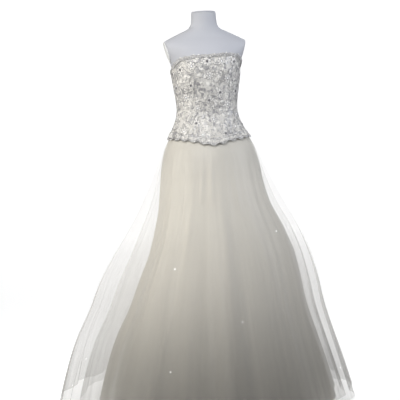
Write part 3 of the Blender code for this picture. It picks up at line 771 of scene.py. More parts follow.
def tulle(name, veil):
    """Soft nylon tulle. Its hexagons of 1 mm are too fine to show, and stand as an even veil with denser
    streaks about 40 mm wide where it gathers."""
    colour = tuple(settings().tulle_colour)
    material, tree, shader = principled(name, colour, 0.75, sheen=0.1, specular=0.1)
    height = height_in_skirt(tree)
    vector = cloth_coordinates(tree, "UV", (26, 0.7, 1))
    streaks = add(
        tree, "ShaderNodeTexNoise", {"Vector": vector, "Scale": 1.0, "Detail": 2.0, "Roughness": 0.45}
    )
    cover = add(
        tree, "ShaderNodeMapRange",
        {"Value": streaks.outputs["Fac"], "From Min": 0.3, "From Max": 0.7,
         "To Min": veil * 0.75, "To Max": veil * 1.08},
    )
    # Thickest at the hem, where it sways into folds, and thin from the knees up
    share = add(
        tree, "ShaderNodeMapRange",
        {"Value": height, "From Min": 0.0, "From Max": 0.75, "To Min": 1.0, "To Max": 0.34},
    )
    alpha = add(tree, "ShaderNodeMath", {0: cover.outputs["Result"], 1: share.outputs["Result"]},
                operation="MULTIPLY")
    tree.links.new(alpha.outputs["Value"], shader.inputs["Alpha"])
    # Painted shade: greyer towards the hem, where less light reaches
    hem_shade = add(tree, "ShaderNodeMapRange", {"Value": height, "From Min": 0.0, "From Max": 0.45})
    run_between(tree, shader, hem_shade.outputs["Result"], *shades(colour, 0.46, 1.0))
    return material


def lace_ground():
    """Satin under a worked net: silver-grey yarn over ivory, in cells of about 6 mm."""
    light = hex_linear("#E4E2DD")
    dark = hex_linear("#C6C4C1")
    material, tree, shader = principled("embroidered_net", light, 0.5, sheen=0.15, specular=0.4)
    vector = cloth_coordinates(tree, "Object", (170, 170, 170))
    cells = add(tree, "ShaderNodeTexVoronoi", {"Vector": vector, "Scale": 1.0}, feature="DISTANCE_TO_EDGE")
    blots = add(tree, "ShaderNodeTexNoise", {"Vector": vector, "Scale": 0.35, "Detail": 3.0})
    both = add(
        tree, "ShaderNodeMath", {0: cells.outputs["Distance"], 1: 1.3, 2: blots.outputs["Fac"]},
        operation="MULTIPLY_ADD",
    )
    tone = add(
        tree, "ShaderNodeMapRange", {"Value": both.outputs["Value"], "From Min": 0.45, "From Max": 0.95}
    )
    run_between(tree, shader, tone.outputs["Result"], dark, light)
    bump(tree, shader, cells.outputs["Distance"], 0.0006, 0.6)
    return material


def thread(name, colour, metallic=0.25):
    """Rayon thread in satin stitch: silky. Its strands of 0.4 mm are drawn 1.4 mm apart so that they show."""
    material, tree, shader = principled(name, colour, 0.42, metallic=metallic, sheen=0.2)
    mottle(tree, shader, cloth_coordinates(tree, "Object", (140, 140, 140)), colour, 0.82, 1.15)
    vector = cloth_coordinates(tree, "Object", (700, 700, 700))
    stitch = add(tree, "ShaderNodeTexNoise", {"Vector": vector, "Scale": 1.0})
    bump(tree, shader, stitch.outputs["Fac"], 0.0003, 0.7)
    return material


def bead_glass(name="silver_lined_glass"):
    """Silver-lined seed beads: a bright mirror under glass."""
    colour = hex_linear("#D6D6D8")
    material, tree, shader = principled(name, colour, 0.24, metallic=0.7)
    mottle(tree, shader, cloth_coordinates(tree, "Object", (300, 300, 300)), colour, 0.70, 1.08)
    return material


def grey_crystal():
    """Grey cut crystal, nearly black where it mirrors nothing."""
    colour = hex_linear("#858488")
    material, tree, shader = principled("grey_crystal", colour, 0.12, metallic=0.3)
    mottle(tree, shader, cloth_coordinates(tree, "Object", (200, 200, 200)), colour, 0.7, 1.3)
    return material


def clear_crystal():
    """Cut crystal with a foiled back, whose small bright spark is a painted glint: the stone glows a little
    though it is no lamp.
    """
    colour = hex_linear("#F4F5F7")
    material, tree, shader = principled("foiled_crystal_painted_glint", colour, 0.2, specular=0.8)
    # Painted glint: a faint glow stands in for the light the foil throws back
    shader.inputs["Emission Color"].default_value = (1, 1, 1, 1)
    shader.inputs["Emission Strength"].default_value = 0.6
    mottle(tree, shader, cloth_coordinates(tree, "Object", (200, 200, 200)), colour, 0.85, 1.0)
    return material


def steel(name, code, roughness):
    """Brushed or plated metal. The wheel's scratches of 0.1 mm are drawn 1 mm apart so that they show."""
    colour = hex_linear(code)
    material, tree, shader = principled(name, colour, roughness, metallic=1.0)
    vector = cloth_coordinates(tree, "Object", (900, 900, 60))
    scratches = add(tree, "ShaderNodeTexNoise", {"Vector": vector, "Scale": 1.0})
    rough = add(
        tree, "ShaderNodeMapRange",
        {"Value": scratches.outputs["Fac"], "To Min": roughness * 0.8, "To Max": roughness * 1.25},
    )
    tree.links.new(rough.outputs["Result"], shader.inputs["Roughness"])
    bump(tree, shader, scratches.outputs["Fac"], 0.0001, 0.4)
    return material


def zip_cloth():
    """Woven polyester tape, ivory, with ribs 2 mm apart across it."""
    colour = hex_linear("#DAD5CA")
    material, tree, shader = principled("woven_tape", colour, 0.6, sheen=0.1)
    mottle(tree, shader, cloth_coordinates(tree, "UV", (40, 200, 1)), colour, 0.9, 1.05)
    rib = add(
        tree, "ShaderNodeTexWave", {"Vector": cloth_coordinates(tree, "UV"), "Scale": 160.0},
        bands_direction="Y",
    )
    bump(tree, shader, rib.outputs["Fac"], 0.0002, 0.5)
    return material


def studio_paint(azimuth):
    """Matt white paint of a studio cove, lit up in a wedge behind the dress as the camera sees it. The glow
    falls off in front of the dress and beside the wedge, so that it rims the dress and doesn't flood it."""
    wedge_slope, wedge_edge, wedge_full = 0.23, 1.6, 0.95
    glow_start, glow_full = -0.6, -0.1
    dimmest, brightest = 0.05, 0.76
    material, tree, shader = principled("cove_paint", hex_linear("#F2F2F2"), 0.9, specular=0.1)
    coordinates = add(tree, "ShaderNodeTexCoord")
    facing = add(
        tree, "ShaderNodeMapping", {"Vector": coordinates.outputs["Object"], "Rotation": (0, 0, -azimuth)}
    )
    place = add(tree, "ShaderNodeSeparateXYZ", {"Vector": facing.outputs["Vector"]})
    aside = add(tree, "ShaderNodeMath", {0: place.outputs["X"]}, operation="ABSOLUTE")
    widening = add(
        tree, "ShaderNodeMath", {0: place.outputs["Y"], 1: -wedge_slope, 2: aside.outputs["Value"]},
        operation="MULTIPLY_ADD",
    )
    inside = add(
        tree, "ShaderNodeMapRange",
        {"Value": widening.outputs["Value"], "From Min": wedge_edge, "From Max": wedge_full},
        interpolation_type="SMOOTHSTEP",
    )
    behind = add(
        tree, "ShaderNodeMapRange",
        {"Value": place.outputs["Y"], "From Min": glow_start, "From Max": glow_full},
        interpolation_type="SMOOTHSTEP",
    )
    both = add(
        tree, "ShaderNodeMath", {0: inside.outputs["Result"], 1: behind.outputs["Result"]},
        operation="MULTIPLY",
    )
    glow = add(
        tree, "ShaderNodeMapRange",
        {"Value": both.outputs["Value"], "To Min": dimmest, "To Max": brightest},
    )
    shader.inputs["Emission Color"].default_value = (1, 1, 1, 1)
    tree.links.new(glow.outputs["Result"], shader.inputs["Emission Strength"])
    grain = add(tree, "ShaderNodeTexNoise", {"Vector": coordinates.outputs["Object"], "Scale": 30.0})
    bump(tree, shader, grain.outputs["Fac"], 0.001, 0.1)
    return material


# Operators


class GOWN_OT_form(bpy.types.Operator):
    """Cover the dress form in jersey, with its neck cap and armhole plates"""

    bl_idname = "gown.form"
    bl_label = "Dress form"

    SEGMENTS = 144
    ROWS = 150
    PLATE_SEGMENTS = 96
    # Shares of the end rings' size, where the foot turns in to the socket and the neck's top turns in
    FOOT_TURN = (0.095, 0.5, 0.97)
    TOP_TURN = (0.98, 0.6, 0.05)
    FOOT_SAG = 0.0001
    # Radius and height as shares of the cap's own
    NECK_PROFILE = (
        (0, 0), (0.97, 0), (1, 0.12), (1, 0.5), (0.985, 0.8), (0.95, 0.95), (0.9, 1), (0, 1),
    )
    # Radius as a share of the plate's, height in metres
    PLATE_PROFILE = (
        (0, 0), (0.985, 0), (1, 0.0008), (1, 0.0024), (0.985, 0.0036), (0.955, 0.0040),
        (0.925, 0.0034), (0.90, 0.0025), (0.6, 0.0027), (0, 0.0028),
    )

    def execute(self, context):
        cloth = jersey()
        self.add_torso(cloth)
        self.add_neck(cloth)
        self.add_arm_plates(drill())
        return {"FINISHED"}

    def add_torso(self, cloth):
        """Rings of the form's face. The foot turns in to the socket, the neck's top in under its cap."""
        angle = np.arange(self.SEGMENTS) * 2 * math.pi / self.SEGMENTS
        z = np.linspace(TORSO_FOOT, NECK_TOP, self.ROWS)[:, None]
        z, angle = np.broadcast_arrays(z, angle)
        rings = at_height(form_face(angle, z), z)
        foot = [rings[0] * (share, share, 1) for share in self.FOOT_TURN]
        foot[-1][:, 2] -= self.FOOT_SAG
        top = [rings[-1] * (share, share, 1) for share in self.TOP_TURN]
        rings = np.concatenate([foot, rings, top])
        points = rings.reshape(-1, 3)
        faces = triangles_of(grid_faces(len(rings), self.SEGMENTS, closed=True))
        last = len(points) - self.SEGMENTS + np.arange(self.SEGMENTS)
        closing = np.stack([np.full(self.SEGMENTS - 2, last[0]), last[1:-1], last[2:]], -1)
        faces = np.concatenate([faces, closing])
        add_piece("form_body", points, faces, cloth, "form_jersey", replaces=["form_torso"])

    def add_neck(self, cloth):
        """An oval plate with an eased edge, its place and size those of the cap."""
        low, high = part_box("form_neck_cap")
        points, faces = turned(self.NECK_PROFILE, self.PLATE_SEGMENTS)
        points = points * ((high.x - low.x) / 2, (high.y - low.y) / 2, high.z - low.z)
        points = points + ((low.x + high.x) / 2, (low.y + high.y) / 2, low.z)
        add_piece("neck_plate", points, faces, cloth, "form_jersey", replaces=["form_neck_cap"])

    def add_arm_plates(self, cloth):
        """Oval plates that lean with the armhole's plane, with a raised piped rim."""
        lean = math.atan(ARMHOLE_LEAN)
        centre_x = ARMHOLE_HALF_WIDTH + ARMHOLE_LEAN * (ARM_CAP_CENTRE - ARMHOLE_TOP)
        for side, sign in (("left", 1), ("right", -1)):
            points, faces = turned(self.PLATE_PROFILE, self.PLATE_SEGMENTS)
            points = points * (ARM_CAP_HEIGHT / 2, ARM_CAP_DEPTH / 2, 1) + (0, ARM_CAP_SET_BACK, TOUCH_GAP)
            turn = Matrix.Rotation(sign * (math.pi / 2 + lean), 3, "Y")
            points = points @ np.array(turn).T + (sign * centre_x, 0, ARM_CAP_CENTRE)
            add_piece(f"arm_plate_{side}", points, faces, cloth, "form_jersey",
                      replaces=[f"form_arm_cap_{side}"])


class GOWN_OT_stand(bpy.types.Operator):
    """Give the stand its brushed steel and the zip's hardware its nickel"""

    bl_idname = "gown.stand"
    bl_label = "Stand and zip metal"

    def execute(self, context):
        finishes = {
            steel("brushed_steel", "#BDBEC0", 0.32): ("stand_base", "stand_pole", "stand_flange"),
            steel("nickel_plate", "#C9C6BE", 0.22): ("zip_slider", "zip_pull"),
        }
        for material, nodes in finishes.items():
            for name in nodes:
                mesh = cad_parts[name].data
                mesh.materials.clear()
                mesh.materials.append(material)
        return {"FINISHED"}


class GOWN_OT_bodice(bpy.types.Operator):
    """Cut the seven bodice panels on princess lines"""

    bl_idname = "gown.bodice"
    bl_label = "Bodice panels"

    ROWS = 60
    EDGE_PASSES = 3
    # How strongly rows crowd towards a panel's top and foot, and columns towards its seams
    EDGE_CROWDING = 0.7
    SEAM_CROWDING = 0.6
    GROOVE_DEPTH = 0.0007
    GROOVE_HALF_WIDTH = 0.0022
    WALL = BODICE_WALL * 0.6
    # Panel: flat width, flat length, flat area
    FLAT = {
        "bodice_front": (0.190, 0.370, 0.053),
        "bodice_side_front": (0.150, 0.345, 0.042),
        "bodice_side_back": (0.140, 0.290, 0.033),
        "bodice_back": (0.092, 0.280, 0.0208),
    }

    def execute(self, context):
        ground = lace_ground()

        def seam(which, sign):
            return lambda z: sign * seam_angle(which, z)

        def zip_edge(sign):
            def edge(z):
                centre = np.full(z.shape, math.pi)
                half_width = ZIP_TAPE_HALF_WIDTH + SEAM_GAP / 2
                return sign * (centre - half_width / ring_pace(dress_face, centre, z))

            return edge

        # Panel, its seam at the smaller angle, its seam at the larger angle, columns
        panels = (
            ("bodice_front", seam(0, -1), seam(0, 1), 44),
            ("bodice_side_front_left", seam(0, 1), seam(1, 1), 36),
            ("bodice_side_front_right", seam(1, -1), seam(0, -1), 36),
            ("bodice_side_back_left", seam(1, 1), seam(2, 1), 30),
            ("bodice_side_back_right", seam(2, -1), seam(1, -1), 30),
            ("bodice_back_left", seam(2, 1), zip_edge(1), 22),
            ("bodice_back_right", zip_edge(-1), seam(2, -1), 22),
        )
        for node, start, end, columns in panels:
            piece = self.add_panel(node, start, end, columns, ground)
        return {"FINISHED"}

    def crowded(self, count, crowding):
        """Shares from 0 to 1 that lie closer together at both ends: t - crowding x sin(2 pi t) / (2 pi)."""
        share = np.linspace(0, 1, count)
        return share - crowding * np.sin(2 * math.pi * share) / (2 * math.pi)

    def add_panel(self, node, first_seam, last_seam, columns, ground):
        """A panel of the dress's face between two seams, with a groove exp(-distance squared) along each."""
        rows = self.crowded(self.ROWS, self.EDGE_CROWDING)[:, None]
        share = self.crowded(columns, self.SEAM_CROWDING)
        waist = np.array(WAIST_HEIGHT)
        middle = first_seam(waist) * (1 - share) + last_seam(waist) * share
        z = basque_edge(middle) + (neckline(middle) - basque_edge(middle)) * rows
        # The seams lean, so the heights of a column's ends and its angles are found in turns
        for _ in range(self.EDGE_PASSES):
            angle = first_seam(z) * (1 - share) + last_seam(z) * share
            low, high = basque_edge(angle[0]), neckline(angle[-1])
            z = low + (high - low) * rows
        start, end = first_seam(z), last_seam(z)
        start = start + SEAM_GAP / 2 / ring_pace(dress_face, start, z)
        end = end - SEAM_GAP / 2 / ring_pace(dress_face, end, z)
        angle = start * (1 - share) + end * share
        nearest = np.minimum(angle - start, end - angle) * ring_pace(dress_face, angle, z)
        groove = -self.GROOVE_DEPTH * np.exp(-((nearest / self.GROOVE_HALF_WIDTH) ** 2))
        points = at_height(moved_out(dress_face, angle, z, groove), z)
        name = node.replace("bodice", "panel")
        return add_sheet(name, points, ground, "bodice_lace", [node], wall=self.WALL)


class GOWN_OT_embroidery(bpy.types.Operator):
    """Work the bodice with flowers, scrolls, leaves, rings, beads and crystals"""

    bl_idname = "gown.embroidery"
    bl_label = "Embroidery"

    SEED = 11
    FLOWER_GAP = 0.054
    ROSETTE_GAP = 0.023
    LEAF_GAP = 0.0105
    PETALS = 7
    ROSETTE_PETALS = 5
    STEMS = 2
    RINGS = 520
    BEADS = 5200
    BEADS_IN_FLOWER = 8
    # Margins on each side of the centre back, in radians
    WORK_MARGIN = 0.09
    RING_MARGIN = 0.08
    BEAD_MARGIN = 0.06
    # No thread passes the bodice's edges by more than this
    EDGE_MARGIN = 0.0005
    # What lies in a flower or in a rosette is raised by its petals
    FLOWER_THICKNESS = 0.0011
    ROSETTE_THICKNESS = 0.0006
    GROUND_CLEARANCE = 0.0003
    EDGING_CLEARANCE = 0.0001
    # Open ground: the work is left out where bare() falls below this
    BARE = -0.50

    def execute(self, context):
        self.random = np.random.default_rng(self.SEED)
        self.width = settings().flower_width
        self.bead = settings().bead_diameter
        self.silver = thread("silver_thread", tuple(settings().thread_colour))
        self.pale = thread("ivory_thread", hex_linear("#EFEDE9"), metallic=0.0)
        self.dark = thread("pewter_thread", hex_linear("#A3A2A4"))
        flowers = self.scatter(2500, self.FLOWER_GAP, low=0.05, high=0.95)
        rosettes = self.scatter(
            6000, self.ROSETTE_GAP, low=0.03, high=0.975, taken=flowers, clear=self.width * 0.62
        )
        self.add_flowers(*flowers)
        self.add_rosettes(*rosettes)
        self.add_scrolls(*flowers)
        leaves = self.scatter(
            5200, self.LEAF_GAP, low=0.015, high=0.985, taken=flowers, clear=self.width * 0.50
        )
        self.add_leaves(*leaves)
        self.add_rings()
        self.add_beads(*flowers)
        self.add_crystals(flowers, rosettes)
        return {"FINISHED"}

    def place(self, angle, share):
        """The height at a share of the way from the basque's edge to the neckline."""
        low, high = basque_edge(angle), neckline(angle)
        return low + (high - low) * share

    def bare(self, angle, z):
        """Slow waves over the bodice, from -1 to 1. Their troughs leave patches of smooth satin."""
        across = np.sin(7.3 * angle + 21 * z + 1.0) * np.sin(38 * z - 3.1 * angle)
        return 0.6 * across + 0.4 * np.sin(13.7 * angle - 46 * z + 0.8)

    def lift(self, angle, z):
        """How far work is raised to lie on the panel, or on the edging where that covers it."""
        on_edging = z < basque_edge(angle) + BASQUE_TRIM_WIDTH
        on_edging |= z > neckline(angle) - NECKLINE_TRIM_WIDTH
        return np.where(on_edging, TRIM_GAP + TRIM_WALL + self.EDGING_CLEARANCE, self.GROUND_CLEARANCE)

    def angles(self, margin, count):
        """Angles drawn at random, but for a margin on each side of the centre back."""
        reach = math.pi - margin
        return self.random.uniform(-reach, reach, count)

    def scatter(self, tries, gap, low, high, taken=None, clear=0.0):
        """Angles and heights tried at random, and kept where no kept place is nearer than the gap and, where
        others have taken their places, outside the bare patches and clear of the others."""
        angle = self.angles(self.WORK_MARGIN, tries)
        z = self.place(angle, self.random.uniform(low, high, tries))
        spots = at_height(dress_face(angle, z), z)
        free = np.ones(tries, bool)
        if taken is not None:
            others = at_height(dress_face(*taken), taken[1])
            nearest = np.linalg.norm(spots[:, None] - others, axis=-1).min(axis=1)
            free = (self.bare(angle, z) > self.BARE) & (nearest > clear)
        kept = []
        for i in np.flatnonzero(free):
            if not kept or np.linalg.norm(spots[kept] - spots[i], axis=1).min() > gap:
                kept.append(i)
        return angle[kept], z[kept]

    def laid(self, shape, angle, z, turn, size, raised=0.0):
        """Copies of a small shape on the bodice, kept within its edges."""
        return carried(
            shape, dress_face, angle, z, turn, size, self.lift(angle, z) + raised, self.EDGE_MARGIN
        )

    def petals_round(self, angle, z, smallest, largest, count):
        """Angle, height, turn and length of the petals round each flower. The smallest and the largest length
        are shares of a large flower's width."""
        start = self.random.uniform(0, 2 * math.pi, len(angle))
        size = self.random.uniform(smallest, largest, len(angle)) * self.width
        turn = (start[:, None] + np.arange(count) * 2 * math.pi / count).ravel()
        angle, z, size = (np.repeat(values, count) for values in (angle, z, size))
        return angle, z, turn, size

    def add_flowers(self, angle, z):
        """A ring of pale petals, each outlined by a pewter cord."""
        petals = self.petals_round(angle, z, 0.375, 0.55, self.PETALS)
        add_piece("flower_petals", *self.laid(petal_shape(), *petals), self.pale, "silver_beading")
        add_piece("petal_cords", *self.laid(petal_outline(), *petals), self.dark, "silver_beading")

    def add_rosettes(self, angle, z):
        """Little five-petalled flowers."""
        petals = self.petals_round(angle, z, 0.18, 0.28, self.ROSETTE_PETALS)
        add_piece("rosettes", *self.laid(petal_shape(4, 3), *petals), self.silver, "silver_beading")

    def add_scrolls(self, angle, z):
        """Curled stems that start at the edges of the flowers, two silver and two pewter to each."""
        away = self.width * 0.45
        top_margin, foot_margin = 0.006, 0.004
        for name, material in (("scrolls_silver", self.silver), ("scrolls_pewter", self.dark)):
            a, h = np.repeat(angle, self.STEMS), np.repeat(z, self.STEMS)
            turn = self.random.uniform(0, 2 * math.pi, len(a))
            size = self.random.uniform(0.9, 1.25, len(a)) * self.width
            tip = h + np.cos(turn) * (away + size * 0.7)
            kept = (tip > basque_edge(a) + foot_margin) & (tip < neckline(a) - top_margin)
            a, h, turn, size = a[kept], h[kept], turn[kept], size[kept]
            a = a - np.sin(turn) * away / ring_pace(dress_face, a, h)
            stems = self.laid(scroll_shape(), a, h + np.cos(turn) * away, turn, size)
            add_piece(name, *stems, material, "silver_beading")

    def add_leaves(self, angle, z):
        """Small leaves wherever there is room, in three tones."""
        turn = self.random.uniform(0, 2 * math.pi, len(angle))
        size = self.random.uniform(0.26, 0.54, len(angle)) * self.width
        tone = self.random.uniform(0, 1, len(angle))
        # Piece, its thread, and the shares of all leaves between which it lies
        tones = (
            ("leaves_pale", self.pale, 0, 0.48),
            ("leaves_silver", self.silver, 0.48, 0.76),
            ("leaves_pewter", self.dark, 0.76, 1),
        )
        for name, material, low, high in tones:
            kept = (tone >= low) & (tone < high)
            leaves = self.laid(petal_shape(5, 3), angle[kept], z[kept], turn[kept], size[kept])
            add_piece(name, *leaves, material, "silver_beading")

    def add_rings(self):
        """Rings of cord about 9 mm wide, close together above the basque and few towards the neckline."""
        share = self.random.uniform(0, 1, self.RINGS) ** 2.2
        angle = self.angles(self.RING_MARGIN, self.RINGS)
        z = self.place(angle, 0.01 + 0.95 * share)
        size = self.random.uniform(0.006, 0.011, self.RINGS)
        add_piece("cord_rings", *self.laid(ring_shape(), angle, z, 0.0, size), self.pale, "silver_beading")

    def add_beads(self, angle, z):
        """A ring of seed beads in each flower, and more strewn between, the more so towards the basque."""
        turn = np.arange(self.BEADS_IN_FLOWER) * 2 * math.pi / self.BEADS_IN_FLOWER
        radius = self.width * 0.17
        a = (angle[:, None] + radius * np.cos(turn) / ring_pace(dress_face, angle, z)[:, None]).ravel()
        h = (z[:, None] + radius * np.sin(turn)).ravel()
        rings = self.laid(bead_shape(), a, h, 0.0, self.bead, self.FLOWER_THICKNESS)
        share = self.random.uniform(0, 1, self.BEADS) ** 1.35
        a = self.angles(self.BEAD_MARGIN, self.BEADS)
        h = self.place(a, share * 0.98 + 0.01)
        worked = self.bare(a, h) > self.BARE
        a, h = a[worked], h[worked]
        size = self.bead * self.random.uniform(0.7, 1.15, len(a))
        strewn = self.laid(bead_shape(), a, h, 0.0, size)
        add_piece("seed_beads", *joined(rings, strewn), bead_glass(), "silver_beading")

    def stones(self, spots, kept, width, raised):
        """Cut stones at the kept spots, their width a share of a large flower's."""
        angle, z = (values[kept] for values in spots)
        return self.laid(crystal_shape(), angle, z, 0.0, self.width * width, raised)

    def add_crystals(self, flowers, rosettes):
        """A grey crystal in the middle of about half of the flowers and of a few rosettes, a clear one in
        the other flowers."""
        grey = self.random.uniform(0, 1, len(flowers[0])) < 0.5
        few = self.random.uniform(0, 1, len(rosettes[0])) < 0.15
        clear_stones = self.stones(flowers, ~grey, 0.15, self.FLOWER_THICKNESS)
        centres = self.stones(flowers, grey, 0.22, self.FLOWER_THICKNESS)
        specks = self.stones(rosettes, few, 0.11, self.ROSETTE_THICKNESS)
        add_piece("flower_crystals", *clear_stones, clear_crystal(), "silver_beading", flat=True)
        add_piece("flower_centres", *joined(centres, specks), grey_crystal(), "silver_beading", flat=True)


class GOWN_OT_edgings(bpy.types.Operator):
    """Lay the beaded edging on the neckline and the scalloped one on the basque"""

    bl_idname = "gown.edgings"
    bl_label = "Beaded edgings"

    WALL = 0.0010
    # How far a braid's edges lie below its middle, and how far its beads are sunk in it
    NECKLINE_ROUND = 0.0006
    BASQUE_ROUND = 0.0009
    BEAD_SINK = 0.0006
    # Beads on the neckline's braid: share of its width, number, diameter
    NECKLINE_BEADS = ((0.14, 290, 0.0029), (0.52, 210, 0.0040), (0.90, 290, 0.0029))
    # Beads along the scallops: height above their edge, number, diameter
    SCALLOP_BEADS = ((0.0016, 420, 0.0030), (0.0062, 300, 0.0034))
    # Beads in level rows: height above the basque's edge, number, diameter
    BASQUE_BEADS = ((0.0125, 300, 0.0030), (0.0185, 300, 0.0030))
    LOOPS = 96
    LOOP_WIDTH = 0.0078
    LEAVES = 130
    LEAF_LENGTH = 0.0090
    LEAF_CLEARANCE = 0.0004
    PICOTS = (-1, 0, 1)
    PICOT_WIDTH = 0.0038
    # Radians round the dress from one picot to the next
    PICOT_STEP = 0.03

    def execute(self, context):
        self.silver = thread("edging_braid", hex_linear("#D6D4D1"), metallic=0.0)
        self.glass = bead_glass("edging_beads")
        self.reach = math.pi - 2 * math.asin(TRIM_PARTING / BACK_SPAN)
        self.lift = TRIM_GAP + TRIM_WALL
        self.add_neckline()
        self.add_basque()
        return {"FINISHED"}

    def spaced(self, margin, count):
        """Angles at even steps round the dress, but for the closing and a margin on each side of it."""
        return np.linspace(-self.reach + margin, self.reach - margin, count)

    def add_braid(self, name, node, angle, low, high, rows, roundness):
        """A cloth between two lines of height, raised in its middle as a half round: 1 - (2 share - 1)^4."""
        share = np.linspace(0, 1, rows)[:, None]
        z = low + (high - low) * share
        rise = self.lift - roundness * (2 * share - 1) ** 4 + 0 * angle
        points = at_height(moved_out(dress_face, np.broadcast_to(angle, z.shape), z, rise), z)
        return add_sheet(name, points, self.silver, "silver_beading", [node], wall=self.WALL)

    def beads(self, angle, z, size):
        """Beads sunk a little in the braid."""
        return carried(bead_shape(), dress_face, angle, z, 0.0, size, self.lift - self.BEAD_SINK)

    def add_neckline(self):
        """A braid along the top edge with three rows of beads, oval loops and little leaves."""
        angle = self.spaced(0, 480)
        edge = neckline(angle)
        braid = self.add_braid(
            "neckline_braid", "neckline_trim", angle, edge - NECKLINE_TRIM_WIDTH,
            edge + NECKLINE_TRIM_STAND, 7, self.NECKLINE_ROUND,
        )
        rows = []
        for share, count, size in self.NECKLINE_BEADS:
            a = self.spaced(0.01, count)
            rows.append(self.beads(a, neckline(a) - NECKLINE_TRIM_WIDTH * (1 - share), size))
        beads = add_piece("neckline_beads", *joined(*rows), self.glass, "silver_beading")
        a = self.spaced(0.03, self.LOOPS)
        number = np.arange(self.LOOPS)
        z = neckline(a) - 0.0050 + 0.0018 * np.sin(1.7 * number)
        turn = 0.5 * np.sin(2.3 * number)
        loops = carried(loop_shape(), dress_face, a, z, turn, self.LOOP_WIDTH, self.lift)
        cord = thread("edging_loops", hex_linear("#BDBCBB"), metallic=0.0)
        loops = add_piece("neckline_loops", *loops, cord, "silver_beading")
        # Little pale leaves stand across the edge, turned this way and that, and break its line
        a = self.spaced(0.05, self.LEAVES)
        number = np.arange(self.LEAVES)
        z = neckline(a) - 0.0075 + 0.0030 * np.sin(2.9 * number)
        turn = 0.9 * np.sin(1.7 * number)
        size = self.LEAF_LENGTH + 0.0020 * np.sin(4.1 * number)
        leaves = carried(petal_shape(5, 3), dress_face, a, z, turn, size, self.lift + self.LEAF_CLEARANCE)
        pale = thread("edging_leaves", hex_linear("#EAE8E4"), metallic=0.0)
        leaves = add_piece("neckline_leaves", *leaves, pale, "silver_beading")

    def add_basque(self):
        """A scalloped braid round the dropped edge, with beads along its scallops and in two rows above, and
        picots at the scallops' tips."""
        angle = self.spaced(0, 12 * SCALLOPS + 1)
        braid = self.add_braid(
            "basque_braid", "basque_trim", angle, scalloped_edge(angle),
            basque_edge(angle) + BASQUE_TRIM_WIDTH, 10, self.BASQUE_ROUND,
        )
        rows = []
        for line, table in ((scalloped_edge, self.SCALLOP_BEADS), (basque_edge, self.BASQUE_BEADS)):
            for height, count, size in table:
                a = self.spaced(0.008, count)
                rows.append(self.beads(a, line(a) + height, size))
        beads = add_piece("basque_beads", *joined(*rows), self.glass, "silver_beading")
        # Three loops of pale cord hang from the tip of each scallop
        tips = 2 * math.pi / SCALLOPS * np.arange(1 - SCALLOPS // 2, SCALLOPS // 2)
        a = (tips[:, None] + self.PICOT_STEP * np.array(self.PICOTS)).ravel()
        z = scalloped_edge(a) + 0.0006
        turn = 0.6 * np.sin(1.9 * np.arange(len(a)))
        picots = carried(loop_shape(), dress_face, a, z, turn, self.PICOT_WIDTH, self.lift)
        cord = thread("edging_picots", hex_linear("#DEDDDA"), metallic=0.0)
        picots = add_piece("basque_picots", *picots, cord, "silver_beading")


class GOWN_OT_zip(bpy.types.Operator):
    """Set the zip's tape and teeth into the centre back"""

    bl_idname = "gown.zip"
    bl_label = "Zip"

    TEETH = 150
    TOOTH_LENGTH = 0.0021
    TOOTH_OFFSET = 0.0005
    # Radius and height of a tooth as turned, and the scale that flattens it
    TOOTH_PROFILE = ((0, 0), (0.5, 0), (0.55, 0.3), (0.3, 0.5), (0, 0.5))
    TOOTH_SCALE = (1.0, 0.42, 0.7)
    FOOT_MARGIN = 0.004
    TOP_MARGIN = 0.006
    WALL = ZIP_TAPE_WALL * 0.7

    def execute(self, context):
        centre = np.array(math.pi)
        top, bottom = neckline(centre), basque_edge(centre)
        across = np.linspace(-1, 1, 7)
        z, across = np.broadcast_arrays(np.linspace(bottom, top, 60)[:, None], across)
        half_width = ZIP_TAPE_HALF_WIDTH - SEAM_GAP / 2
        angle = math.pi + half_width / ring_pace(dress_face, np.full(z.shape, math.pi), z) * across
        points = at_height(moved_out(dress_face, angle, z, np.full(z.shape, -ZIP_TAPE_SINK)), z)
        tape = add_sheet("zip_tape_cloth", points, zip_cloth(), "ivory_satin", ["zip_tape"], wall=self.WALL)
        tooth, faces = turned(self.TOOTH_PROFILE, 6)
        h = np.linspace(bottom + self.FOOT_MARGIN, top - self.TOP_MARGIN, self.TEETH)
        side = np.where(np.arange(self.TEETH) % 2, 1, -1) * self.TOOTH_OFFSET
        a = math.pi + side / ring_pace(dress_face, np.full(self.TEETH, math.pi), h)
        teeth = carried(
            (tooth * self.TOOTH_SCALE, faces), dress_face, a, h, 0.0, self.TOOTH_LENGTH, -ZIP_TAPE_SINK
        )
        teeth = add_piece("zip_teeth", *teeth, steel("nickel_teeth", "#C9C6BE", 0.25), "zip_metal")
        return {"FINISHED"}


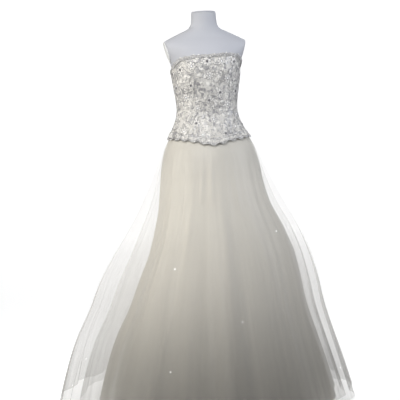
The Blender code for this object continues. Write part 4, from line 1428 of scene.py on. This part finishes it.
class GOWN_OT_skirts(bpy.types.Operator):
    """Hang the satin skirt and the two tulle skirts over it"""

    bl_idname = "gown.skirts"
    bl_label = "Skirts"

    COLUMNS = 190
    ROWS = 96
    ROW_CROWDING = 0.85
    INNER_VEIL_SHARE = 0.8
    # Metres of the pattern's map for each radian round the skirt
    MAP_RADIUS = 0.6
    # Layer: piece, node, flat hem width, flat length, flat area of the front and of the back
    CUT = {
        "satin": ("satin_skirt", "skirt_satin", 1.50, 1.14, 1.08, 1.19),
        "under": ("inner_tulle", "tulle_under", 1.72, 1.16, 1.24, 1.35),
        "over": ("outer_tulle", "tulle_over", 1.95, 1.20, 1.43, 1.55),
    }

    def execute(self, context):
        veil = settings().veil
        materials = {
            "satin": (satin(), "ivory_satin"),
            "under": (tulle("soft_tulle_inner", veil * self.INNER_VEIL_SHARE), "ivory_tulle"),
            "over": (tulle("soft_tulle_outer", veil), "ivory_tulle"),
        }
        for layer, (material, slot) in materials.items():
            name, node, width, length, front_area, back_area = self.CUT[layer]
            for side, centre, area in (("front", 0.0, front_area), ("back", math.pi, back_area)):
                points, uv = self.half(layer, centre)
                piece = add_sheet(f"{name}_{side}", points, material, slot, [f"{node}_{side}"], uv=uv)
        return {"FINISHED"}

    def half(self, layer, centre):
        """The grid of half a skirt and its map, which runs round the skirt and up from the floor in metres.
        Columns are at even angles, rows closer together under the basque."""
        share = np.linspace(0, 1, self.ROWS)[:, None] ** self.ROW_CROWDING
        z = SKIRT_FOOT + (SKIRT_TOP - SKIRT_FOOT) * share
        angle = centre + np.linspace(-math.pi / 2, math.pi / 2, self.COLUMNS)
        z, angle = np.broadcast_arrays(z, angle)
        points = at_height(skirt_face(layer)(angle, z), z)
        return points, np.stack([angle * self.MAP_RADIUS, z], -1)


class GOWN_OT_crystals(bpy.types.Operator):
    """Scatter a few crystals over the outer tulle"""

    bl_idname = "gown.crystals"
    bl_label = "Skirt crystals"

    SEED = 3
    COUNT = 56
    # Strewn round the sides and the back, between these angles in degrees
    FIRST_ANGLE = 60
    LAST_ANGLE = 300
    LOWEST = 0.06
    SPREAD = 0.85
    CLEARANCE = 0.0002

    def execute(self, context):
        random = np.random.default_rng(self.SEED)
        degrees, height = np.array(PLACED_CRYSTALS).T
        strewn = random.uniform(math.radians(self.FIRST_ANGLE), math.radians(self.LAST_ANGLE), self.COUNT)
        angle = np.concatenate([np.radians(degrees), strewn])
        z = np.concatenate([height, self.LOWEST + self.SPREAD * random.uniform(0, 1, self.COUNT)])
        share = np.concatenate([np.ones(len(height)), random.uniform(0.7, 1.0, self.COUNT)])
        size = settings().crystal_diameter * share
        stones = carried(crystal_shape(), skirt_face("over"), angle, z, 0.0, size, self.CLEARANCE)
        add_piece("skirt_crystals", *stones, clear_crystal(), "silver_beading", flat=True)
        return {"FINISHED"}


class GOWN_OT_studio(bpy.types.Operator):
    """Set the white cove, the soft lights and the camera"""

    bl_idname = "gown.studio"
    bl_label = "Studio"

    FLOOR_RADIUS = 6.0
    COVE_RADIUS = 2.0
    WALL_TOP = 6.0
    FLOOR_LEVEL = -0.0005
    FLOOR_RINGS = (0, 2, 4)
    COVE_SEGMENTS = 96
    AIR_COLOUR = (0.93, 0.95, 1.0, 1)
    AIR_STRENGTH = 0.10
    # Light: place, aim, width of its lamp, cone in degrees, power in watts, tint
    LIGHTS = {
        "key": ((-0.7, -1.7, 2.4), (0.0, 0.0, 1.08), 1.0, 56, 134, "#FFFFFF"),
        "left": ((-2.5, -0.6, 1.8), (0.0, 0.0, 0.95), 1.2, 68, 140, "#FFF9EC"),
        "right": ((2.3, -1.0, 2.0), (0.0, 0.0, 1.25), 1.2, 48, 140, "#F3F7FF"),
        "back": ((1.0, 2.4, 2.4), (0.0, 0.0, 0.9), 1.2, 90, 90, "#FFFFFF"),
    }
    CAMERA_AZIMUTH = -8
    CAMERA_DISTANCE = 4.0
    CAMERA_HEIGHT = 1.1
    TARGET_HEIGHT = 0.795
    FOCAL_PIXELS = 980
    FRAME_PIXELS = 400
    SENSOR = 36
    ROLL = 2.2
    SHIFT_PIXELS = 10.5

    def execute(self, context):
        self.add_cove()
        self.add_world(context)
        for name, (place, aim, *lamp) in self.LIGHTS.items():
            self.add_light(name, Vector(place), Vector(aim), *lamp)
        self.add_camera(context)
        context.scene.view_settings.view_transform = "Standard"
        return {"FINISHED"}

    def add_cove(self):
        """A round floor that curves up into a wall."""
        outer = self.FLOOR_RADIUS + self.COVE_RADIUS
        profile = [(radius, 0) for radius in self.FLOOR_RINGS]
        for bend in np.linspace(0, math.pi / 2, 13):
            radius = self.FLOOR_RADIUS + self.COVE_RADIUS * math.sin(bend)
            profile.append((radius, self.COVE_RADIUS * (1 - math.cos(bend))))
        profile.append((outer, self.WALL_TOP))
        points, faces = turned(profile, self.COVE_SEGMENTS)
        points = points + (0, 0, self.FLOOR_LEVEL)
        mesh = bpy.data.meshes.new("studio_cove")
        mesh.from_pydata(points.tolist(), [], faces[:, ::-1].tolist())
        mesh.shade_smooth()
        mesh.materials.append(studio_paint(math.radians(self.CAMERA_AZIMUTH)))
        cove = bpy.data.objects.new("studio_cove", mesh)
        bpy.context.scene.collection.objects.link(cove)

    def add_world(self, context):
        """A faint even light from all round."""
        world = bpy.data.worlds.new("studio_air")
        world.use_nodes = True
        background = world.node_tree.nodes["Background"]
        background.inputs["Color"].default_value = self.AIR_COLOUR
        background.inputs["Strength"].default_value = self.AIR_STRENGTH
        context.scene.world = world

    def add_light(self, name, place, aim, width, cone, power, tint):
        """A wide soft lamp whose beam fades all the way to the edge of its cone."""
        lamp = bpy.data.lights.new(f"softbox_{name}", "SPOT")
        lamp.shadow_soft_size = width / 2
        lamp.spot_size = math.radians(cone)
        lamp.spot_blend = 1
        lamp.energy = power
        lamp.color = hex_linear(tint)
        light = bpy.data.objects.new(f"softbox_{name}", lamp)
        turn = (aim - place).to_track_quat("-Z", "Y").to_matrix().to_4x4()
        light.matrix_world = Matrix.Translation(place) @ turn
        bpy.context.scene.collection.objects.link(light)

    def add_camera(self, context):
        """The photograph's viewpoint: a little to the wearer's right, at waist height, slightly tilted."""
        azimuth = math.radians(self.CAMERA_AZIMUTH)
        rise = self.CAMERA_HEIGHT - self.TARGET_HEIGHT
        level = math.sqrt(self.CAMERA_DISTANCE**2 - rise**2)
        target = Vector((0, 0, self.TARGET_HEIGHT))
        place = target + Vector((math.sin(azimuth) * level, -math.cos(azimuth) * level, rise))
        back = (place - target).normalized()
        right = Vector((0, 0, 1)).cross(back).normalized()
        up = back.cross(right)
        roll = math.radians(self.ROLL)
        across = right * math.cos(roll) - up * math.sin(roll)
        upright = right * math.sin(roll) + up * math.cos(roll)
        lens = bpy.data.cameras.new("viewpoint")
        lens.sensor_width = self.SENSOR
        lens.lens = self.FOCAL_PIXELS / self.FRAME_PIXELS * self.SENSOR
        lens.shift_x = -self.SHIFT_PIXELS / self.FRAME_PIXELS
        camera = bpy.data.objects.new("viewpoint", lens)
        turn = Matrix((across, upright, back)).transposed().to_4x4()
        camera.matrix_world = Matrix.Translation(place) @ turn
        context.scene.collection.objects.link(camera)
        context.scene.camera = camera


OPERATORS = (
    GOWN_OT_form,
    GOWN_OT_stand,
    GOWN_OT_bodice,
    GOWN_OT_embroidery,
    GOWN_OT_edgings,
    GOWN_OT_zip,
    GOWN_OT_skirts,
    GOWN_OT_crystals,
    GOWN_OT_studio,
)


class GOWN_PT_panel(bpy.types.Panel):
    """Lists the gown's settings and its operators in order"""

    bl_idname = "GOWN_PT_panel"
    bl_label = "Wedding dress"
    bl_space_type = "VIEW_3D"
    bl_region_type = "UI"
    bl_category = "Gown"

    def draw(self, context):
        for name in GownSettings.__annotations__:
            self.layout.prop(context.scene.gown, name)
        for operator in OPERATORS:
            self.layout.operator(operator.bl_idname)


CLASSES = (GownSettings, *OPERATORS, GOWN_PT_panel)


def register():
    for item in CLASSES:
        bpy.utils.register_class(item)
    bpy.types.Scene.gown = bpy.props.PointerProperty(type=GownSettings)


def unregister():
    del bpy.types.Scene.gown
    for item in reversed(CLASSES):
        bpy.utils.unregister_class(item)


def main():
    register()
    for operator in OPERATORS:
        group, name = operator.bl_idname.split(".")
        getattr(getattr(bpy.ops, group), name)()


if __name__ == "__main__":
    main()
